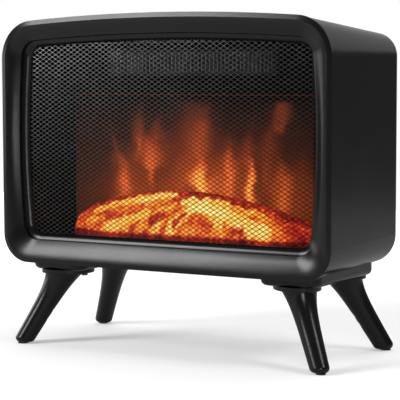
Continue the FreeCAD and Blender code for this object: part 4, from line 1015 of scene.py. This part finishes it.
    def _mould(self, vert: bmesh.types.BMVert, low: Vector, high: Vector) -> float:
        """Raises one point of the flat grid to the bed's surface.

        Args:
            vert: the point, which is moved.
            low: the bed's lowest corner.
            high: its highest corner.

        Returns:
            The painted glow level at the point.
        """
        size = high - low
        x = vert.co.x
        depth = ease(vert.co.y, low.y, high.y)
        front = self._front(x, high.x)
        vert.co.y = low.y + size.y * (front + (1.0 - front) * depth)
        full, glow_level = self._coal(x, depth)
        cells, _ = noise.voronoi(vert.co / self.crumb_size)
        crumb = min((cells[1] - cells[0]) * self.crumb_edge, 1.0)
        crest = size.z - self.margin + self._crest(x, high.x) - self.lip
        edge = min(1.0, (high.x - abs(x)) * self.lump_end_rate, depth * self.lump_front_rate)
        lumps = self.lump_share * full + (1.0 - self.lump_share) * crumb
        rise = self.lip + crest * self._swell(depth) + max(edge, 0.0) * self.lump * lumps
        vert.co.z = min(low.z + rise, high.z)
        # painted shade: less glow in the seams between crumbs; also less towards the right end and at the front
        # edge
        glow_level -= self.crumb_seam_shade * (1.0 - crumb)
        glow_level *= 1.0 - self.right_end_dim * ease(x, *self.right_end_dim_x)
        return glow_level * min(1.0, self.lip_glow_level + depth * self.lip_rate)

    def _crest(self, x: float, half: float) -> float:
        """Gives the fall of the crest from its peak, which lies left of the middle.

        Args:
            x: place along the bed.
            half: half the bed's length.

        Returns:
            The height against the peak, 0 or less.
        """
        if x < self.peak_x:
            return -self.left_drop * (abs(x - self.peak_x) / (half + self.peak_x)) ** self.left_power
        return -self.right_drop * (abs(x - self.peak_x) / (half - self.peak_x)) ** self.right_power

    def _front(self, x: float, half: float) -> float:
        """Gives how far the front edge draws back near the ends.

        Args:
            x: place along the bed.
            half: half the bed's length.

        Returns:
            A share of the depth.
        """
        left = ease(x, self.left_from, -half) * self.left_back
        right = ease(x, self.right_from, half) * self.right_back
        return left + right

    def _swell(self, depth: float) -> float:
        """Gives the bed's round section from front to back.

        Args:
            depth: place from its front at 0 to its back at 1.

        Returns:
            A share of the crest's height.
        """
        if depth > self.crown:
            return 1.0 - self.back_fall * (depth - self.crown) / (1.0 - self.crown)
        return math.sin(depth / self.crown * math.pi / 2) ** self.crown_power

    def _coal(self, x: float, depth: float) -> tuple[float, float]:
        """Looks up the sticks at a place.

        Args:
            x: place along the bed.
            depth: place from its front at 0 to its back at 1.

        Returns:
            The swell of the nearest stick from 0 to 1, and the painted glow level there.
        """
        ragged = sum(
            ripple.swing * noise.noise(Vector((x * ripple.along, depth * ripple.deep, ripple.seed)))
            for ripple in self.ripples)
        place = Vector((x / MM, depth * self.climb / MM))
        swell, glow_level = 0.0, self.ash - self.ash_back_dim * ease(depth, *self.ash_depth)
        for coal in self.coals:
            full = self._reach(coal, place, ragged)
            swell = max(swell, full)
            share = min(full * self.coal_edge, 1.0)
            glow_level = max(glow_level, self.coal_least + (coal.glow_level - self.coal_least) * share)
        for hollow in self.hollows:
            full = self._reach(hollow, place, ragged)
            swell -= self.hollow_sink * swell * full
            glow_level += (hollow.glow_level - glow_level) * min(full * self.hollow_edge, 1.0)
        return swell, glow_level

    def _reach(self, coal: Coal, place: Vector, ragged: float) -> float:
        """Gives the round profile of one stick at a place.

        Args:
            coal: the stick.
            place: the place on the bed's surface laid flat, in millimetres.
            ragged: how far the stick's outline is pushed in there, in millimetres.

        Returns:
            A share from 0 outside the stick to 1 on its middle line.
        """
        start = Vector((coal.start[0], coal.start[1] * self.climb / MM))
        run = Vector((coal.end[0], coal.end[1] * self.climb / MM)) - start
        share = ease((place - start).dot(run), 0.0, run.length_squared)
        off = max(((place - start - run * share).length + ragged) / coal.radius, 0.0)
        return math.sqrt(max(1.0 - off * off, 0.0))


@dataclass
class InnerWorks:
    """Liner, panel, grille, flame screen and the drive and heating pieces behind them."""

    effects: Effects
    # black paint, made blacker and duller than the cabinet's satin as painted shade for the unlit firebox
    sheet: Moulded = Moulded("black_sheet", grey(0.0008), grey(0.0014), rough=0.6, gloss=0.03)
    dull: Moulded = Moulded("dull_zinc", grey(0.05), grey(0.09), rough=0.5, metal=1.0, smudge=120.0)
    zinc: Moulded = Moulded(
        "zinc_plate", grey(0.5), (0.66, 0.66, 0.65, 1.0),
        rough=0.32, rough_spread=0.1, metal=1.0, smudge=120.0)
    bright: Moulded = Moulded(
        "bright_foil", (0.78, 0.78, 0.8, 1.0), (0.88, 0.88, 0.9, 1.0), rough=0.2, metal=1.0, smudge=90.0)
    mask: Moulded = Moulded("board_mask", (0.012, 0.09, 0.03, 1.0), (0.02, 0.13, 0.045, 1.0), rough=0.3)
    resin: Moulded = Moulded("lamp_resin", (0.8, 0.62, 0.34, 1.0), (0.9, 0.74, 0.42, 1.0), rough=0.15)
    brass: Moulded = Moulded("bush_brass", (0.6, 0.4, 0.14, 1.0), (0.72, 0.5, 0.2, 1.0), rough=0.3, metal=1.0)
    shell: Moulded = Moulded("motor_shell", grey(0.3), grey(0.4), rough=0.38, metal=0.7)
    pale: Moulded = Moulded("pale_moulding", (0.6, 0.57, 0.5, 1.0), (0.7, 0.68, 0.62, 1.0), rough=0.5)
    grille: GrillePaint = GrillePaint()
    film: FlameFilm = FlameFilm()

    def build(self) -> None:
        """Dresses each inner piece."""
        plans = {
            self.sheet: ("firebox_liner", "upper_panel"),
            self.dull: ("front_screws", "rear_cover_screws", "rail_screws", "leg_screws"),
            self.zinc: (
                "chassis_screws", "chassis_plate", "spindle_bracket", "motor_bracket", "blower_housing",
                "spindle_shaft", "blower_shaft"),
            self.bright: ("spindle_foils", "heater_element", "blower_wheel"),
            self.mask: ("ember_light_board", "flame_light_board", "control_board"),
            self.resin: ("ember_lamps", "flame_lamps"),
            self.brass: ("spindle_bush", "blower_bush"),
            self.shell: ("flame_motor", "blower_motor"),
            self.pale: ("heater_frame", "thermal_cutout", "tilt_switch", "terminal_block"),
        }
        dress_all(plans, self.effects)
        dress("outlet_grille", self.grille.material())
        panel_low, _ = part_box("upper_panel")
        dress("flame_screen", self.film.material(self.effects, panel_low.z / MM))


@dataclass(frozen=True)
class Softbox:
    """One rectangular studio lamp, aimed at the object."""

    name: str
    place: Place
    size: Span
    power: float


@dataclass
class Studio:
    """Floor, world, lamps and camera.

    The camera has the photograph's viewing angle, with its focal length in the picture's pixels.
    """

    aim: Place = (0.0, 0.0, 0.16)
    eye: Place = (0.73049, -1.24109, 0.25586)
    turn: Place = (1.488441, 0.002796, 0.532044)
    focal_px: float = 1561.94
    image_px: float = 400.0
    sensor: float = 36.0
    ambient: float = 0.16
    mirror: float = 0.1
    boxes: tuple[Softbox, ...] = (
        Softbox("key_softbox", (-1.15, -1.45, 1.04), (0.62, 1.1), 32.0),
        Softbox("right_softbox", (1.4, -0.1, 1.29), (0.5, 0.5), 9.0),
        Softbox("left_panel", (-1.75, 0.2, 0.31), (2.6, 0.4), 8.0),
        Softbox("front_panel", (1.18, -1.55, 0.38), (0.5, 0.5), 8.5),
        Softbox("back_panel", (0.2, 2.2, 0.95), (2.4, 0.8), 3.0),
        Softbox("top_softbox", (0.0, 0.6, 1.7), (2.0, 1.6), 15.0),
    )
    floor_size: float = 2.8
    floor: FloorPaint = FloorPaint()

    def build(self) -> None:
        """Sets up the stage."""
        self._floor()
        self._world()
        for box in self.boxes:
            self._lamp(box)
        self._camera()
        bpy.context.scene.view_settings.view_transform = "Standard"

    def _floor(self) -> None:
        """Lays the floor."""
        bm = bmesh.new()
        bmesh.ops.create_grid(bm, x_segments=2, y_segments=2, size=self.floor_size / 2)
        show(bm, "floor", self.floor.material())

    def _world(self) -> None:
        """Lights the room softly, and shows white behind the object."""
        world = bpy.data.worlds.new("white_room")
        bpy.context.scene.world = world
        world.use_nodes = True
        board = Board(world.node_tree)
        path = board.add("ShaderNodeLightPath").outputs
        seen = board.larger(path["Is Camera Ray"], path["Is Transmission Ray"])
        plain = board.minus(1.0, board.larger(seen, path["Is Glossy Ray"]))
        level = board.plus(seen, board.times(path["Is Glossy Ray"], self.mirror))
        level = board.math("ADD", level, board.times(plain, self.ambient), clamp=True)
        back = board.tree.nodes["Background"]
        board.feed(back.inputs["Strength"], level)
        board.feed(back.inputs["Color"], grey(1.0))

    def _lamp(self, box: Softbox) -> None:
        """Hangs one lamp.

        Args:
            box: its place, size and power.
        """
        data = bpy.data.lights.new(box.name, "AREA")
        data.shape = "RECTANGLE"
        data.size, data.size_y = box.size
        data.energy = box.power
        lamp = bpy.data.objects.new(box.name, data)
        bpy.context.scene.collection.objects.link(lamp)
        lamp.location = box.place
        lamp.rotation_euler = (Vector(self.aim) - Vector(box.place)).to_track_quat("-Z", "Y").to_euler()

    def _camera(self) -> None:
        """Sets the camera at the photograph's angle."""
        data = bpy.data.cameras.new("camera")
        data.sensor_width = self.sensor
        data.lens = self.focal_px / self.image_px * self.sensor
        camera = bpy.data.objects.new("camera", data)
        bpy.context.scene.collection.objects.link(camera)
        camera.location = self.eye
        camera.rotation_euler = self.turn
        bpy.context.scene.camera = camera


def main() -> None:
    """Builds the stage and every sub-assembly in order."""
    logging.basicConfig(level=logging.INFO, format="%(message)s")
    effects = Effects()
    Studio().build()
    Cabinet(effects).build()
    InnerWorks(effects).build()
    FrontMesh(effects).build()
    EmberBed().build()


if __name__ == "__main__":
    main()
